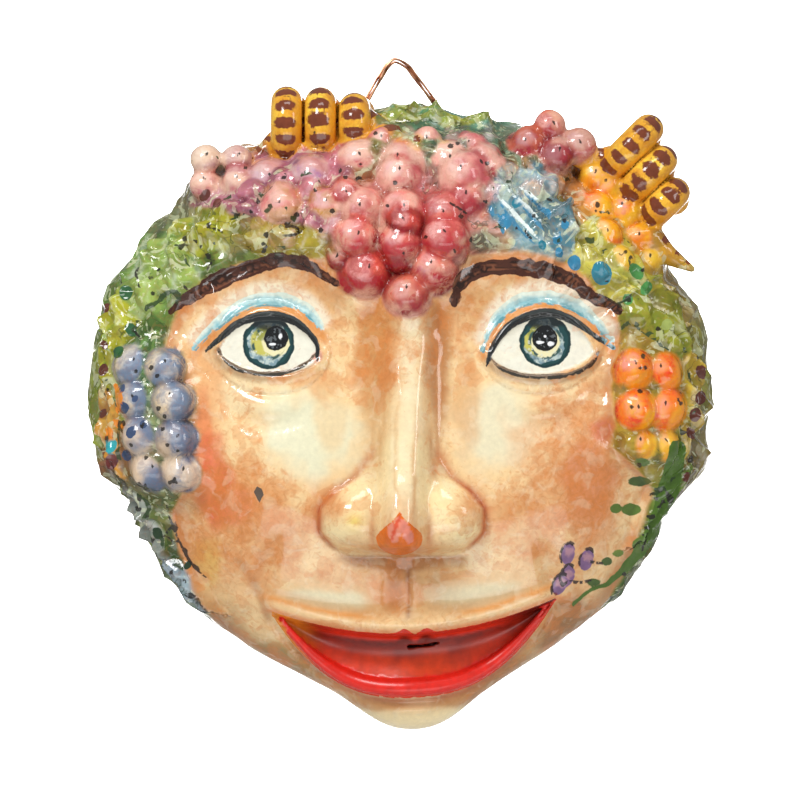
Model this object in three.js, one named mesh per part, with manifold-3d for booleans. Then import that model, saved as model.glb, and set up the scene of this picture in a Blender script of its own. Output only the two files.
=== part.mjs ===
// A glazed ceramic wall mask of a smiling wine god, crowned with vine leaves, grapes and coiled tendrils,
// and the copper wire loop that it hangs by. Millimetres, +Z up, the face looks towards -Y.
// The origin is the top of the wire loop, where the nail bears.

import * as THREE from "three";
import Module from "manifold-3d";
import { mergeVertices } from "three/addons/utils/BufferGeometryUtils.js";

const wasm = await Module();
wasm.setup();

const { clamp, lerp, degToRad } = THREE.MathUtils;

// Overall form. The face is laid out in u (right) and v (up) about its middle, and depth is measured
// out from the flat back rim, which lies against the wall.
const RIM_Y = 8;
const FACE_Z = -196;
const FACE_RADIUS = 153.5;
const SIDE_DEPTH = 13;
const DOME_DEPTH = 66;
const DOME_POWER = 2.5;
const RIM_TUCK = 0.03;
const WALL = 9;
const HOLLOW_PAST_RIM = 5;

// Outline: wide temples, flat lower cheeks and a pointed chin. A bulge is angle, height and width.
const TEMPLE_SPREAD = 2;
const RIGHT_SPREAD = 2;
const CHIN_DROP = 18;
const CHIN_AT = -86.5;
const CHIN_ANGLE = 15;
const BULGES = [[90, 5, 40], [158, 6, 15], [14, 4, 10]];

// The leafy part of the rim stands out further, from one angle to the other, with a wavy edge
const LEAF_RIM = 13;
const LEAF_RIM_START = -14;
const LEAF_RIM_END = 193;
const LEAF_RIM_ENDING = 6;
const SCALLOP = 1.2;
const SCALLOPS = 21;

// Eyes and brows, on both sides of the face's own axis
const FACE_AXIS = 5;
const EYE_SPREAD = 74.5;
const EYE_V = 34;
const EYE_HALF = 28;
const EYE_UPPER = 22;
const EYE_LOWER = 11;
const EYE_TILT = 1.5;
const EYE_MIDDLE = 4;
const EYEBALL_RISE = 6;
const EYEBALL_HALF = 34;
const EYEBALL_HEIGHT = 26;
const SOCKET_DEPTH = 8;
const SOCKET_HALF = 46;
const SOCKET_HEIGHT = 30;
const LID_RADIUS = 3.4;
const CREASE_DEPTH = 1.5;
const CREASE_ABOVE_LID = 9;
const BAG_RISE = 3.6;
const BAG_DROP = 27;
const BAG_CURVE = 14;
const BAG_FOLD = 2.2;
const BROW_V = 83;
const BROW_RISE = 3;
const BROW_OUTER_DROP = 26;
const BROW_INNER_DROP = 14;

// Nose, wider at the tip, its ridge leaning to the right towards the top
const NOSE_U = 2;
const NOSE_TOP_V = 78;
const NOSE_TIP_V = -60;
const NOSE_BASE_V = -74;
const NOSE_LEAN = 9;
const NOSE_RISE = 32;
const RIDGE_TOP_RISE = 3;
const RIDGE_TIP_RISE = 27;
const RIDGE_TOP_HALF = 13;
const RIDGE_TIP_HALF = 17;
const NOSTRIL_SPREAD = 28;
const NOSTRIL_RISE = 17;

// Mouth, open in a wide smile, with a letter-box slit through the clay
const MOUTH_U = 9;
const MOUTH_HALF = 77;
const LIP_V = -119;
const SMILE = 15;
const MOUTH_TILT = 3.5;
const LOWER_LIP_V = -152.5;
const MOUTH_POWER = 2.6;
const MOUTH_DEPTH = 13;
const LIP_RADIUS = 4.6;
const UPPER_LIP_RISE = 4;
const GROOVE_U = 4;
const GROOVE_DEPTH = 1.8;
const SLIT_U = 13.5;
const SLIT_LENGTH = 15;
const SLIT_HEIGHT = 2.4;
const SLIT_BELOW_LIP = 4.5;
const SLIT_REACH = 80;

// Cheeks, the folds that run down beside the smile, and the chin
const CHEEK_RISE = 5.5;
const CHEEK_SPREAD = 80;
const CHEEK_V = -38;
const FOLD_DEPTH = 2.4;
const FOLD_V = -92;
const CHIN_RISE = 6;
const CHIN_V = -165;
const CHIN_U = 7;

// Garland. Its inner edge is given as angle about the face's middle, in degrees, and radius.
const GARLAND_EDGE = [
  [-46, 156], [-32, 151], [-16, 146], [-8, 120], [8, 118], [25, 134], [42, 125], [56, 108], [70, 92],
  [90, 86], [110, 90], [122, 103], [135, 119], [152, 135], [164, 132], [174, 117], [196, 117],
  [203, 134], [220, 147], [238, 156],
];
const GARLAND_RISE = 7;
const SHOULDER = 0.95;

// Vine leaves: middle u and v, the way the tip points in degrees, length and width
const LEAVES = [
  [-56, 94, 185, 58, 34], [-97, 99, 205, 58, 46], [-127, 70, 235, 56, 48], [-147, 36, 262, 56, 36],
  [-148, -8, 268, 50, 32], [-132, -56, 295, 48, 24], [-109, -92, 312, 46, 20], [18, 160, 5, 66, 34],
  [70, 100, -55, 60, 42], [108, 76, -35, 54, 44], [136, 50, -65, 54, 44], [150, 6, -88, 58, 32],
  [136, -48, -112, 54, 22],
];
const LEAF_STATIONS = 4;
const LEAF_RISE = 6;
const LEAF_SUNK = 6;
const MIDRIB_SHARE = 0.35;
const LOBE_SWING = 0.14;
const SHEET_LENGTH = 215;

// Bunches of grapes, in rows: v, first and last u, how many, radius, and how far their middles stand out
const BUNCHES = {
  brow: [
    [139, -20, 49, 4, 10.5, 1], [130, 1, 36, 2, 11, 3], [112, -17, 24, 3, 11.5, 2],
    [96, -20, 24, 3, 11.5, 3], [78, -17.5, 21, 2, 11.5, 3], [65, 4, 4, 1, 10, 2],
  ],
  templeLeft: [[141, -106, -88.5, 2, 8.5, 5], [128, -106, -87.5, 2, 9, 4]],
  foreheadLeft: [[132, -72, -45, 2, 9.5, -1], [115, -62, -38, 2, 10, 0]],
  crownRight: [[159.7, 85, 85, 1, 9.2, 4], [148.5, 71.5, 99, 2, 10, 4], [143.5, 88, 88, 1, 10, 8]],
  templeRight: [
    [132, 108, 108, 1, 8, 0], [113, 109, 125, 2, 9.5, 1], [99, 116, 134, 2, 8, 2], [86, 122, 138, 2, 7, 1],
  ],
  sideLeft: [
    [27, -144, -126, 2, 10, 1], [8.5, -143, -122.7, 2, 10.3, 1], [-11, -140, -120.5, 2, 10.3, 1],
    [-30, -134, -117.7, 2, 9.8, 1],
  ],
  sideRight: [[25, 130, 146, 2, 9.5, 1], [4, 131.5, 147, 2, 10.3, 1], [-15, 132.5, 147, 2, 7.5, 0]],
};
const GRAPES = Object.values(BUNCHES).flat().flatMap(([v, first, last, count, radius, stand]) => {
  const place = (i) => lerp(first, last, count > 1 ? i / (count - 1) : 0);
  return Array.from({ length: count }, (_, i) => ({ u: place(i), v, radius, stand }));
});
const GRAPE_SUNK = 0.3;
const BUNCH_RISE = 7;

// Coiled tendrils: the middle of each as u, v and depth, the slant of its turns from upright and how
// much further its axis dips, both in degrees, how far each turn reaches up and down, and their pitch
const TENDRIL_RADIUS = 8.6;
const COIL_RADIUS = 11;
const COIL_TURNS = 3;
const COIL_PER_TURN = 7;
const COIL_END = 0.38;
const COILS = [
  { middle: [-42, 161, 44], slant: 0, dip: 0, reaches: [12, 11.5, 8.5], pitch: 18.6 },
  { middle: [138, 133, 40], slant: 45, dip: 15, reaches: [13, 11, 8], pitch: 18 },
];

// Loose ends of the tendrils: u, v and how far the middle stands out, then the roll's radius
const TENDRIL_TAILS = [
  [[[-20, 165, 4], [-8, 158, 2], [4, 150, 1], [24, 147, 0]], 5],
  [[[-66, 152, 3], [-74, 144, 1], [-82, 137, -1]], 5],
  [[[121, 143, 2], [112, 142, 2], [101, 141, -1]], 5],
  [[[140, 104, 0], [148, 92, 3], [160, 83, 6]], 4.5],
];

// Wire loop and its two holes. The legs run down from the nail, through the clay, and bend over inside.
const WIRE_WIDTH = 3.2;
const WIRE_THICKNESS = 1.7;
const WIRE_HOLE_RADIUS = 2.4;
const WIRE_HOLE_START = 19;
const APEX_HALF = 5;
const APEX_DROP = 2.75;
const LEG_DROP = 21.5;
const LEG_REACH = { [-1]: 12.6, 1: 16 };
const LEG_END_Z = -42;
const WIRE_END_DROP = 8;
const WIRE_TURN_IN = 5;

// Carved sheets are split down to a grid of 2 to the power of the level, and only where they bend
// by more than the tolerance
const OUTER_LEVEL = 8;
const OUTER_TOLERANCE = 2.4;
const INNER_LEVEL = 6;
const INNER_TOLERANCE = 3.5;
const DOME_SHARE = 0.9;
const RIM_FADE = 0.95;

// A smooth hump of height 1, falling to a third at the given width
function hump(distance, width) {
  return Math.exp(-((distance / width) ** 2));
}

// 0 before one value and 1 past the other, with soft ends
function ramp(from, to, value) {
  const t = clamp((value - from) / (to - from), 0, 1);
  return t * t * (3 - 2 * t);
}

// An oval dome of height 1, steep at its edge
function dome(across, up, half, height) {
  return Math.max(0, 1 - (across / half) ** 2 - (up / height) ** 2) ** 0.6;
}

// Reads a table of angle and value pairs, with soft steps between them
function readTable(table, at) {
  const last = table[table.length - 1];
  if (at <= table[0][0]) return table[0][1];
  if (at >= last[0]) return last[1];
  const next = table.findIndex(([angle]) => angle > at);
  const [fromAngle, fromValue] = table[next - 1];
  const [toAngle, toValue] = table[next];
  return lerp(fromValue, toValue, ramp(fromAngle, toAngle, at));
}

// Degrees about the face's middle, from -90 at the chin, over the crown, to 270 at the chin again
function angleOf(u, v) {
  const degrees = (Math.atan2(v, u) * 180) / Math.PI;
  return degrees < -90 ? degrees + 360 : degrees;
}

function outline(degrees) {
  const radians = degToRad(degrees);
  const fromChin = degrees > 90 ? degrees - 360 - CHIN_AT : degrees - CHIN_AT;
  const leafy = ramp(LEAF_RIM_START - LEAF_RIM_ENDING, LEAF_RIM_START + LEAF_RIM_ENDING, degrees)
    - ramp(LEAF_RIM_END - LEAF_RIM_ENDING, LEAF_RIM_END + LEAF_RIM_ENDING, degrees);
  const scallop = Math.sin(radians * SCALLOPS + 1.3 * Math.sin(radians * 5));
  const bulges = BULGES.reduce((sum, [at, height, width]) => sum + height * hump(degrees - at, width), 0);
  return FACE_RADIUS + TEMPLE_SPREAD * Math.cos(2 * radians) + RIGHT_SPREAD * Math.cos(radians)
    + CHIN_DROP * hump(fromChin, CHIN_ANGLE) + bulges + leafy * (LEAF_RIM + SCALLOP * scallop);
}

// The two curves that bound the open smile. t runs from -1 at its left corner to 1 at its right.
function mouthCurves(u) {
  const t = (u - MOUTH_U) / MOUTH_HALF;
  const inside = clamp(t, -1, 1);
  const tilt = MOUTH_TILT * inside;
  const corner = LIP_V + SMILE;
  return {
    t,
    upper: LIP_V + SMILE * inside * inside + tilt,
    lower: LOWER_LIP_V + (corner - LOWER_LIP_V) * Math.abs(inside) ** MOUTH_POWER + tilt,
  };
}

// The almond of an open eye: how far its upper and lower edge stand off the line between its corners
function almond(t) {
  const arch = Math.max(0, 1 - t * t) ** 0.75;
  return { upper: EYE_UPPER * arch, lower: -EYE_LOWER * arch };
}

function eyeRelief(u, v) {
  let relief = 0;
  for (const side of [-1, 1]) {
    const across = (u - FACE_AXIS - side * EYE_SPREAD) * side;
    const t = across / EYE_HALF;
    const up = v - EYE_V - EYE_TILT * t;
    const ballUp = up - EYE_MIDDLE;
    const ball = Math.sqrt(Math.max(0, 1 - (across / EYEBALL_HALF) ** 2 - (ballUp / EYEBALL_HEIGHT) ** 2));
    const socket = hump(Math.hypot(across / SOCKET_HALF, ballUp / SOCKET_HEIGHT), 1);
    const crease = up > 0 ? hump(almond(t).upper + CREASE_ABOVE_LID - up, 3) * hump(t, 1.05) : 0;
    const bag = up + BAG_DROP - BAG_CURVE * t * t;
    const outer = Math.max(0, 0.2 + 0.62 * t) ** 2;
    const inner = Math.max(0, -0.4 - t) ** 2;
    const brow = v - BROW_V + BROW_OUTER_DROP * outer + BROW_INNER_DROP * inner;
    relief += EYEBALL_RISE * ball - SOCKET_DEPTH * socket - CREASE_DEPTH * crease
      + BAG_RISE * hump(bag, 8) * hump(t, 0.95) - BAG_FOLD * hump(bag + 12, 5) * hump(t, 0.9)
      + BROW_RISE * hump(brow, 10) * hump(t, 1.7);
  }
  return relief;
}

function noseRelief(u, v) {
  const down = clamp((NOSE_TOP_V - v) / (NOSE_TOP_V - NOSE_TIP_V), 0, 1);
  const across = u - NOSE_U - NOSE_LEAN * (1 - down);
  const ridgeRise = lerp(RIDGE_TOP_RISE, RIDGE_TIP_RISE, down ** 1.15) * ramp(0, 0.12, down);
  const ridge = ridgeRise / (1 + (across / lerp(RIDGE_TOP_HALF, RIDGE_TIP_HALF, down)) ** 4);
  const tip = NOSE_RISE * dome(across, v - NOSE_TIP_V, 24, 26);
  const wings = NOSTRIL_RISE * dome(Math.abs(across) - NOSTRIL_SPREAD, v - NOSE_TIP_V - 1, 20, 19);
  const joined = Math.max(ridge, tip, wings) + 0.25 * Math.min(ridge, wings);
  return joined * ramp(NOSE_BASE_V - 5, NOSE_BASE_V + 4, v);
}

function mouthRelief(u, v) {
  const { t, upper, lower } = mouthCurves(u);
  const upward = clamp((v - lower) / Math.max(upper - lower, 0.01), 0, 1);
  const ends = ramp(1.12, 0.86, Math.abs(t));
  const opening = MOUTH_DEPTH * ends * ramp(0.12, 0.9, upward) * ramp(-0.6, 2.4, upper - v);
  const underLip = 2.5 * ends * hump(v - lower + 6, 4);
  const upperLip = UPPER_LIP_RISE * hump(t, 1.15) * hump(v - upper - 5, 6);
  const fromGroove = Math.abs(u - GROOVE_U);
  const alongGroove = ramp(-112, -104, v) * ramp(-76, -84, v);
  const groove = alongGroove * (hump(fromGroove, 4) - 0.6 * hump(fromGroove - 9, 4));
  return upperLip - opening - underLip - GROOVE_DEPTH * groove;
}

function cheekRelief(u, v) {
  const across = Math.abs(u - FACE_AXIS);
  const cheek = CHEEK_RISE * hump(Math.hypot((across - CHEEK_SPREAD) / 42, (v - CHEEK_V) / 40), 1);
  const fold = FOLD_DEPTH * hump(across - CHEEK_SPREAD + 0.32 * (v - FOLD_V), 4.5) * hump(v - FOLD_V, 22);
  const chin = CHIN_RISE * hump(Math.hypot((u - CHIN_U) / 26, (v - CHIN_V) / 13), 1);
  return cheek - fold + chin;
}

function garlandRelief(u, v) {
  const degrees = angleOf(u, v);
  const radius = Math.hypot(u, v);
  const border = readTable(GARLAND_EDGE, degrees);
  const towardsRim = ramp(0.86, 1, radius / outline(degrees));
  return GARLAND_RISE * ramp(border - 3, border + 7, radius) * lerp(1, 0.3, towardsRim);
}

// The swelling of clay that each bunch grows out of
function bunchRelief(u, v) {
  let most = 0;
  for (const grape of GRAPES) {
    const reach = Math.hypot(u - grape.u, v - grape.v) / grape.radius;
    if (reach < 2.5) most = Math.max(most, ramp(2.3, 0.6, reach));
  }
  return BUNCH_RISE * most;
}

// All the carving of the outside. The eyes and cheeks end at the garland.
function relief(u, v) {
  const border = readTable(GARLAND_EDGE, angleOf(u, v));
  const bare = ramp(border + 9, border - 3, Math.hypot(u, v));
  return bare * (eyeRelief(u, v) + cheekRelief(u, v)) + noseRelief(u, v) + mouthRelief(u, v)
    + garlandRelief(u, v) + bunchRelief(u, v);
}

// The hollow follows the outside without its fine carving: it runs up behind the nose and stays
// clear of the sunk mouth and eyes
function hollowRelief(u, v) {
  const nose = 17 * hump(Math.hypot((u - NOSE_U) / 26, (v - NOSE_TIP_V - 10) / 34), 1);
  const mouth = 12 * hump(Math.hypot((u - MOUTH_U) / 72, (v - LIP_V + 7) / 24), 1);
  const fromEye = Math.abs(u - FACE_AXIS) - EYE_SPREAD;
  const socket = 6 * hump(Math.hypot(fromEye / 40, (v - EYE_V - EYE_MIDDLE) / SOCKET_HEIGHT), 1);
  return nose - mouth - socket;
}

// A point of the plain dome, without carving. s runs from 0 in the middle to 1 on the back rim, where
// the side draws in a little.
function domePoint(s, degrees, inset, backDepth) {
  const radius = outline(degrees) - inset;
  const radians = degToRad(degrees);
  const place = (share, depth) => new THREE.Vector3(
    share * radius * Math.cos(radians),
    RIM_Y - depth,
    FACE_Z + share * radius * Math.sin(radians),
  );
  if (s <= DOME_SHARE) {
    const lift = (s / DOME_SHARE) * (Math.PI / 2);
    return place(Math.sin(lift) ** (2 / DOME_POWER), SIDE_DEPTH + (DOME_DEPTH - inset) * Math.cos(lift));
  }
  const depth = lerp(SIDE_DEPTH, backDepth, (s - DOME_SHARE) / (1 - DOME_SHARE));
  return place(1 - RIM_TUCK * (1 - depth / SIDE_DEPTH) ** 2, depth);
}

// Turns a square grid into a disc, ring by ring
function squareToDisc(a, b) {
  const s = Math.max(Math.abs(a), Math.abs(b));
  if (s === 0) return { s: 0, degrees: 0 };
  const onSide = Math.abs(a) > Math.abs(b);
  const degrees = onSide ? (45 * b) / a + (a > 0 ? 0 : 180) : 90 - (45 * a) / b + (b > 0 ? 0 : 180);
  return { s, degrees: degrees > 270 ? degrees - 360 : degrees };
}

// All grid points of a carved sheet: the dome, pushed out along its own normal by the relief
function carvedGrid(cells, inset, backDepth, carving) {
  const points = [];
  const shares = [];
  for (let row = 0; row <= cells; row += 1) {
    for (let column = 0; column <= cells; column += 1) {
      const { s, degrees } = squareToDisc((2 * column) / cells - 1, (2 * row) / cells - 1);
      points.push(domePoint(s, degrees, inset, backDepth));
      shares.push(s);
    }
  }
  const normals = gridNormals(points, cells);
  points.forEach((point, i) => {
    const push = carving(point.x, point.z - FACE_Z) * ramp(1, RIM_FADE, shares[i]);
    point.addScaledVector(normals[i], push);
  });
  return points;
}

function gridNormals(points, cells) {
  const side = cells + 1;
  const index = [];
  for (let row = 0; row < cells; row += 1) {
    for (let column = 0; column < cells; column += 1) {
      const corner = row * side + column;
      index.push(corner, corner + 1, corner + side, corner + 1, corner + side + 1, corner + side);
    }
  }
  const geometry = new THREE.BufferGeometry().setFromPoints(points);
  geometry.setIndex(index);
  geometry.computeVertexNormals();
  return points.map((point, i) => new THREE.Vector3().fromBufferAttribute(geometry.attributes.normal, i));
}

// How far the sheet bends at every grid point, between its two neighbours on the next coarser grid.
// Each point also holds the largest bend of the finer points that hang on it.
function gridBends(points, cells, detail) {
  const side = cells + 1;
  const bends = new Float32Array(side * side);
  const normals = gridNormals(points, cells);
  const bend = (at, one, other) => {
    const gap = points[one].clone().lerp(points[other], 0.5).sub(points[at]);
    const weight = detail(points[at].x, points[at].z - FACE_Z);
    return weight * Math.max(Math.abs(gap.dot(normals[at])), 0.1 * gap.length());
  };
  for (let step = 1; step < cells; step *= 2) {
    for (let row = 0; row <= cells; row += step) {
      for (let column = 0; column <= cells; column += step) {
        if ((row / step + column / step) % 2 === 0) continue;
        const at = row * side + column;
        const reach = (column / step) % 2 === 1 ? step : step * side;
        bends[at] = bend(at, at - reach, at + reach);
        if (step === 1) continue;
        for (const [right, up] of [[-1, -1], [1, -1], [-1, 1], [1, 1]]) {
          const [x, y] = [column + (right * step) / 2, row + (up * step) / 2];
          const inGrid = Math.min(x, y) >= 0 && Math.max(x, y) <= cells;
          if (inGrid) bends[at] = Math.max(bends[at], bends[y * side + x]);
        }
      }
    }
    for (let row = step; row < cells; row += 2 * step) {
      for (let column = step; column < cells; column += 2 * step) {
        const at = row * side + column;
        const evenSquare = ((row / step - 1) / 2 + (column / step - 1) / 2) % 2 === 0;
        const reach = step * side + (evenSquare ? step : -step);
        const around = [at - step, at + step, at - step * side, at + step * side];
        bends[at] = Math.max(bend(at, at - reach, at + reach), ...around.map((i) => bends[i]));
      }
    }
  }
  return bends;
}

// Splits right-angled triangles in two only where the sheet bends by more than the tolerance
function adaptiveTriangles(bends, cells, tolerance) {
  const side = cells + 1;
  const triangles = [];
  const split = (ax, ay, bx, by, cx, cy) => {
    const mx = (ax + bx) / 2;
    const my = (ay + by) / 2;
    const canSplit = Math.abs(ax - cx) + Math.abs(ay - cy) > 1;
    if (canSplit && bends[my * side + mx] > tolerance) {
      split(cx, cy, ax, ay, mx, my);
      split(bx, by, cx, cy, mx, my);
    } else {
      triangles.push(ay * side + ax, by * side + bx, cy * side + cx);
    }
  };
  split(0, 0, cells, cells, cells, 0);
  split(cells, cells, 0, 0, 0, cells);
  return triangles;
}

// How closely the sheet follows the carving: closest round the eyes and the mouth, loosely under
// the garland, which its own leaves and grapes cover
function closeness(u, v) {
  const underGarland = ramp(-12, 4, Math.hypot(u, v) - readTable(GARLAND_EDGE, angleOf(u, v)));
  const fromEye = Math.abs(u - FACE_AXIS) - EYE_SPREAD;
  const eye = hump(Math.hypot(fromEye / 40, (v - EYE_V - EYE_MIDDLE) / SOCKET_HEIGHT), 1);
  const mouth = hump(Math.hypot((u - MOUTH_U) / 80, (v - LIP_V + 8) / 26), 1);
  return 1 + 0.8 * eye + 1.1 * mouth - 0.5 * underGarland;
}

// Closes a sheet across its open back with a flat fan, and makes it a solid
function closedSheet(level, tolerance, inset, backDepth, carving, detail) {
  const cells = 2 ** level;
  const points = carvedGrid(cells, inset, backDepth, carving);
  const triangles = adaptiveTriangles(gridBends(points, cells, detail), cells, tolerance);
  const directed = new Set();
  for (let i = 0; i < triangles.length; i += 3) {
    const [a, b, c] = triangles.slice(i, i + 3);
    for (const edge of [[a, b], [b, c], [c, a]]) directed.add(edge.join());
  }
  const middle = points.length;
  points.push(new THREE.Vector3(0, RIM_Y - backDepth, FACE_Z));
  for (const edge of directed) {
    const [from, to] = edge.split(",").map(Number);
    if (!directed.has(`${to},${from}`)) triangles.push(to, from, middle);
  }
  const geometry = new THREE.BufferGeometry().setFromPoints(points);
  geometry.setIndex(triangles);
  return toSolid(geometry);
}

// Makes a closed geometry a solid that can be joined and cut
function toSolid(geometry) {
  const bare = geometry.clone();
  bare.deleteAttribute("normal");
  bare.deleteAttribute("uv");
  const merged = mergeVertices(bare, 1e-4);
  const used = [...new Set(merged.index.array)];
  const renumber = new Map(used.map((old, fresh) => [old, fresh]));
  const corner = new THREE.Vector3();
  const positions = used.flatMap((i) => corner.fromBufferAttribute(merged.attributes.position, i).toArray());
  const index = Array.from(merged.index.array, (i) => renumber.get(i));
  if (signedVolume(positions, index) < 0) index.reverse();
  return new wasm.Manifold(new wasm.Mesh({
    numProp: 3,
    vertProperties: new Float32Array(positions),
    triVerts: new Uint32Array(index),
  }));
}

function signedVolume(positions, index) {
  const corner = (i) => new THREE.Vector3().fromArray(positions, 3 * index[i]);
  let total = 0;
  for (let i = 0; i < index.length; i += 3) total += corner(i).dot(corner(i + 1).cross(corner(i + 2))) / 6;
  return total;
}

// Takes the outer skin of a joined solid: small pockets sealed in between grapes are filled with clay
function toGeometry(solid) {
  const mesh = solid.getMesh();
  const parent = Array.from({ length: mesh.numVert }, (_, i) => i);
  const rootOf = (i) => {
    while (parent[i] !== i) i = parent[i] = parent[parent[i]];
    return i;
  };
  for (let i = 0; i < mesh.triVerts.length; i += 3) {
    parent[rootOf(mesh.triVerts[i + 1])] = rootOf(mesh.triVerts[i]);
    parent[rootOf(mesh.triVerts[i + 2])] = rootOf(mesh.triVerts[i]);
  }
  const count = new Map();
  for (const i of mesh.triVerts) count.set(rootOf(i), (count.get(rootOf(i)) ?? 0) + 1);
  const skin = [...count].reduce((best, entry) => (entry[1] > best[1] ? entry : best))[0];
  const kept = [];
  for (let i = 0; i < mesh.triVerts.length; i += 3) {
    if (rootOf(mesh.triVerts[i]) === skin) kept.push(...mesh.triVerts.slice(i, i + 3));
  }
  const geometry = new THREE.BufferGeometry();
  geometry.setAttribute("position", new THREE.BufferAttribute(new Float32Array(mesh.vertProperties), 3));
  geometry.setIndex(kept);
  geometry.computeVertexNormals();
  return geometry;
}

// Depth of the carved surface, for setting grapes and tendrils on it. Past the shoulder of the dome
// it stays at the shoulder's depth.
function surfaceDepth(u, v) {
  const share = Math.min(SHOULDER, Math.hypot(u, v) / outline(angleOf(u, v)));
  return SIDE_DEPTH + DOME_DEPTH * Math.sqrt(1 - share ** DOME_POWER) + relief(u, v);
}

function onFace(u, v, depth) {
  return new THREE.Vector3(u, RIM_Y - depth, FACE_Z + v);
}

function grapeSolid({ u, v, radius, stand }) {
  const grape = new THREE.SphereGeometry(radius, 6, 4);
  grape.rotateX(-Math.PI / 2);
  grape.translate(...onFace(u, v, surfaceDepth(u, v) + stand - GRAPE_SUNK * radius).toArray());
  return toSolid(grape);
}

// A point lifted off the carved sheet along the dome's own normal
function sheetPoint(s, degrees, lift) {
  const point = domePoint(s, degrees, 0, 0);
  const alongS = point.clone().sub(domePoint(s - 0.01, degrees, 0, 0));
  const alongAngle = domePoint(s, degrees + 0.5, 0, 0).sub(point);
  const normal = alongS.cross(alongAngle).normalize();
  const push = garlandRelief(point.x, point.z - FACE_Z) * ramp(1, RIM_FADE, s);
  return point.addScaledVector(normal, push + lift);
}

// One vine leaf: a lobed tongue with raised halves on both sides of a sunk midrib, its tip bent over
// the side of the dome, where it lies flatter. Stations run from the stalk to the tip.
function leafSolid([u, v, heading, length, width]) {
  const middleDegrees = angleOf(u, v);
  const radius = Math.hypot(u, v);
  const share = Math.min(0.99, radius / outline(middleDegrees));
  const middleS = (DOME_SHARE * Math.asin(share ** (DOME_POWER / 2))) / (Math.PI / 2);
  const turn = degToRad(heading - middleDegrees);
  const crossings = [-1, -0.5, 0, 0.5, 1];
  const top = [];
  const under = [];
  for (let i = 0; i <= LEAF_STATIONS; i += 1) {
    const t = i / LEAF_STATIONS;
    const lobe = 1 + (i % 2 === 0 ? -LOBE_SWING : LOBE_SWING);
    const half = (width / 2) * Math.max(0.12, Math.sin(Math.PI * t ** 0.7)) * lobe;
    for (const crossing of crossings) {
      const ahead = (t - 0.5) * length - 7 * Math.abs(crossing) * t;
      const aside = crossing * half;
      const s = Math.min(0.96, middleS + (ahead * Math.cos(turn) - aside * Math.sin(turn)) / SHEET_LENGTH);
      const around = (ahead * Math.sin(turn) + aside * Math.cos(turn)) / radius;
      const degrees = middleDegrees + (around * 180) / Math.PI;
      const fold = crossing === 0 ? MIDRIB_SHARE : 1.25 - 0.5 * Math.abs(crossing);
      const rise = LEAF_RISE * fold * (t < 1 ? lobe : 0.5) * ramp(1, 0.6, s);
      top.push(sheetPoint(s, degrees, rise));
      under.push(sheetPoint(s, degrees, -LEAF_SUNK));
    }
  }
  return closedRibbon(top, under, crossings.length);
}

// Closes the rows of points of an upper and an under side into one solid
function closedRibbon(top, under, across) {
  const index = [];
  const quad = (a, b, c, d) => index.push(a, b, c, a, c, d);
  const last = top.length - across;
  const down = top.length;
  for (let row = 0; row < last; row += across) {
    for (let i = row; i < row + across - 1; i += 1) {
      quad(i, i + 1, i + across + 1, i + across);
      quad(i + down, i + down + across, i + down + across + 1, i + down + 1);
    }
    const right = row + across - 1;
    quad(row, row + across, row + across + down, row + down);
    quad(right, right + down, right + across + down, right + across);
  }
  for (let i = 0; i < across - 1; i += 1) {
    quad(i, i + down, i + 1 + down, i + 1);
    quad(last + i, last + i + 1, last + i + 1 + down, last + i + down);
  }
  const geometry = new THREE.BufferGeometry().setFromPoints([...top, ...under]);
  geometry.setIndex(index);
  return toSolid(geometry);
}

// A clay roll along a curve, with twice as many sides as the half-count given
function roll(points, radius, steps, halfSides) {
  const circle = new THREE.Shape().absarc(0, 0, radius, 0, 2 * Math.PI);
  return toSolid(new THREE.ExtrudeGeometry(circle, {
    curveSegments: halfSides,
    steps,
    bevelEnabled: false,
    extrudePath: new THREE.CatmullRomCurve3(points),
  }));
}

// A tendril wound like a spring: upright turns in front, side by side along the axis, joined behind.
// It ends as soon as the last front turn is over the top.
function tendrilCoil({ middle, slant, dip, reaches, pitch }) {
  const turned = degToRad(slant);
  const axis = new THREE.Vector3(Math.cos(turned + degToRad(dip)), 0, -Math.sin(turned + degToRad(dip)));
  const up = new THREE.Vector3(Math.sin(turned), 0, Math.cos(turned));
  const centre = onFace(...middle);
  const points = [];
  const steps = Math.round((COIL_TURNS - COIL_END) * COIL_PER_TURN);
  for (let i = 0; i <= steps; i += 1) {
    const turn = i / COIL_PER_TURN;
    const angle = 2 * Math.PI * turn - Math.PI / 2;
    const whole = Math.floor(turn);
    const crossing = ramp(0.5, 1, turn % 1);
    const advance = whole + crossing - (COIL_TURNS - 1) / 2;
    const reach = lerp(reaches[whole], reaches[Math.min(whole + 1, COIL_TURNS - 1)], crossing);
    points.push(centre.clone()
      .addScaledVector(axis, advance * pitch)
      .addScaledVector(up, reach * Math.sin(angle))
      .add(new THREE.Vector3(0, -COIL_RADIUS * Math.cos(angle), 0)));
  }
  return roll(points, TENDRIL_RADIUS, steps, 4);
}

function tendrilTail([points, radius]) {
  const path = points.map(([u, v, stand]) => onFace(u, v, surfaceDepth(u, v) + stand));
  return roll(path, radius, points.length + 1, 3);
}

// A thin roll of clay laid on the face along a curve of u and v, sunk by part of its radius
function laidRoll(curve, radius, steps) {
  const path = [];
  for (let i = 0; i <= steps; i += 1) {
    const [u, v] = curve(lerp(-1, 1, i / steps));
    path.push(onFace(u, v, surfaceDepth(u, v) - 0.25 * radius));
  }
  return roll(path, radius, steps, 3);
}

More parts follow.
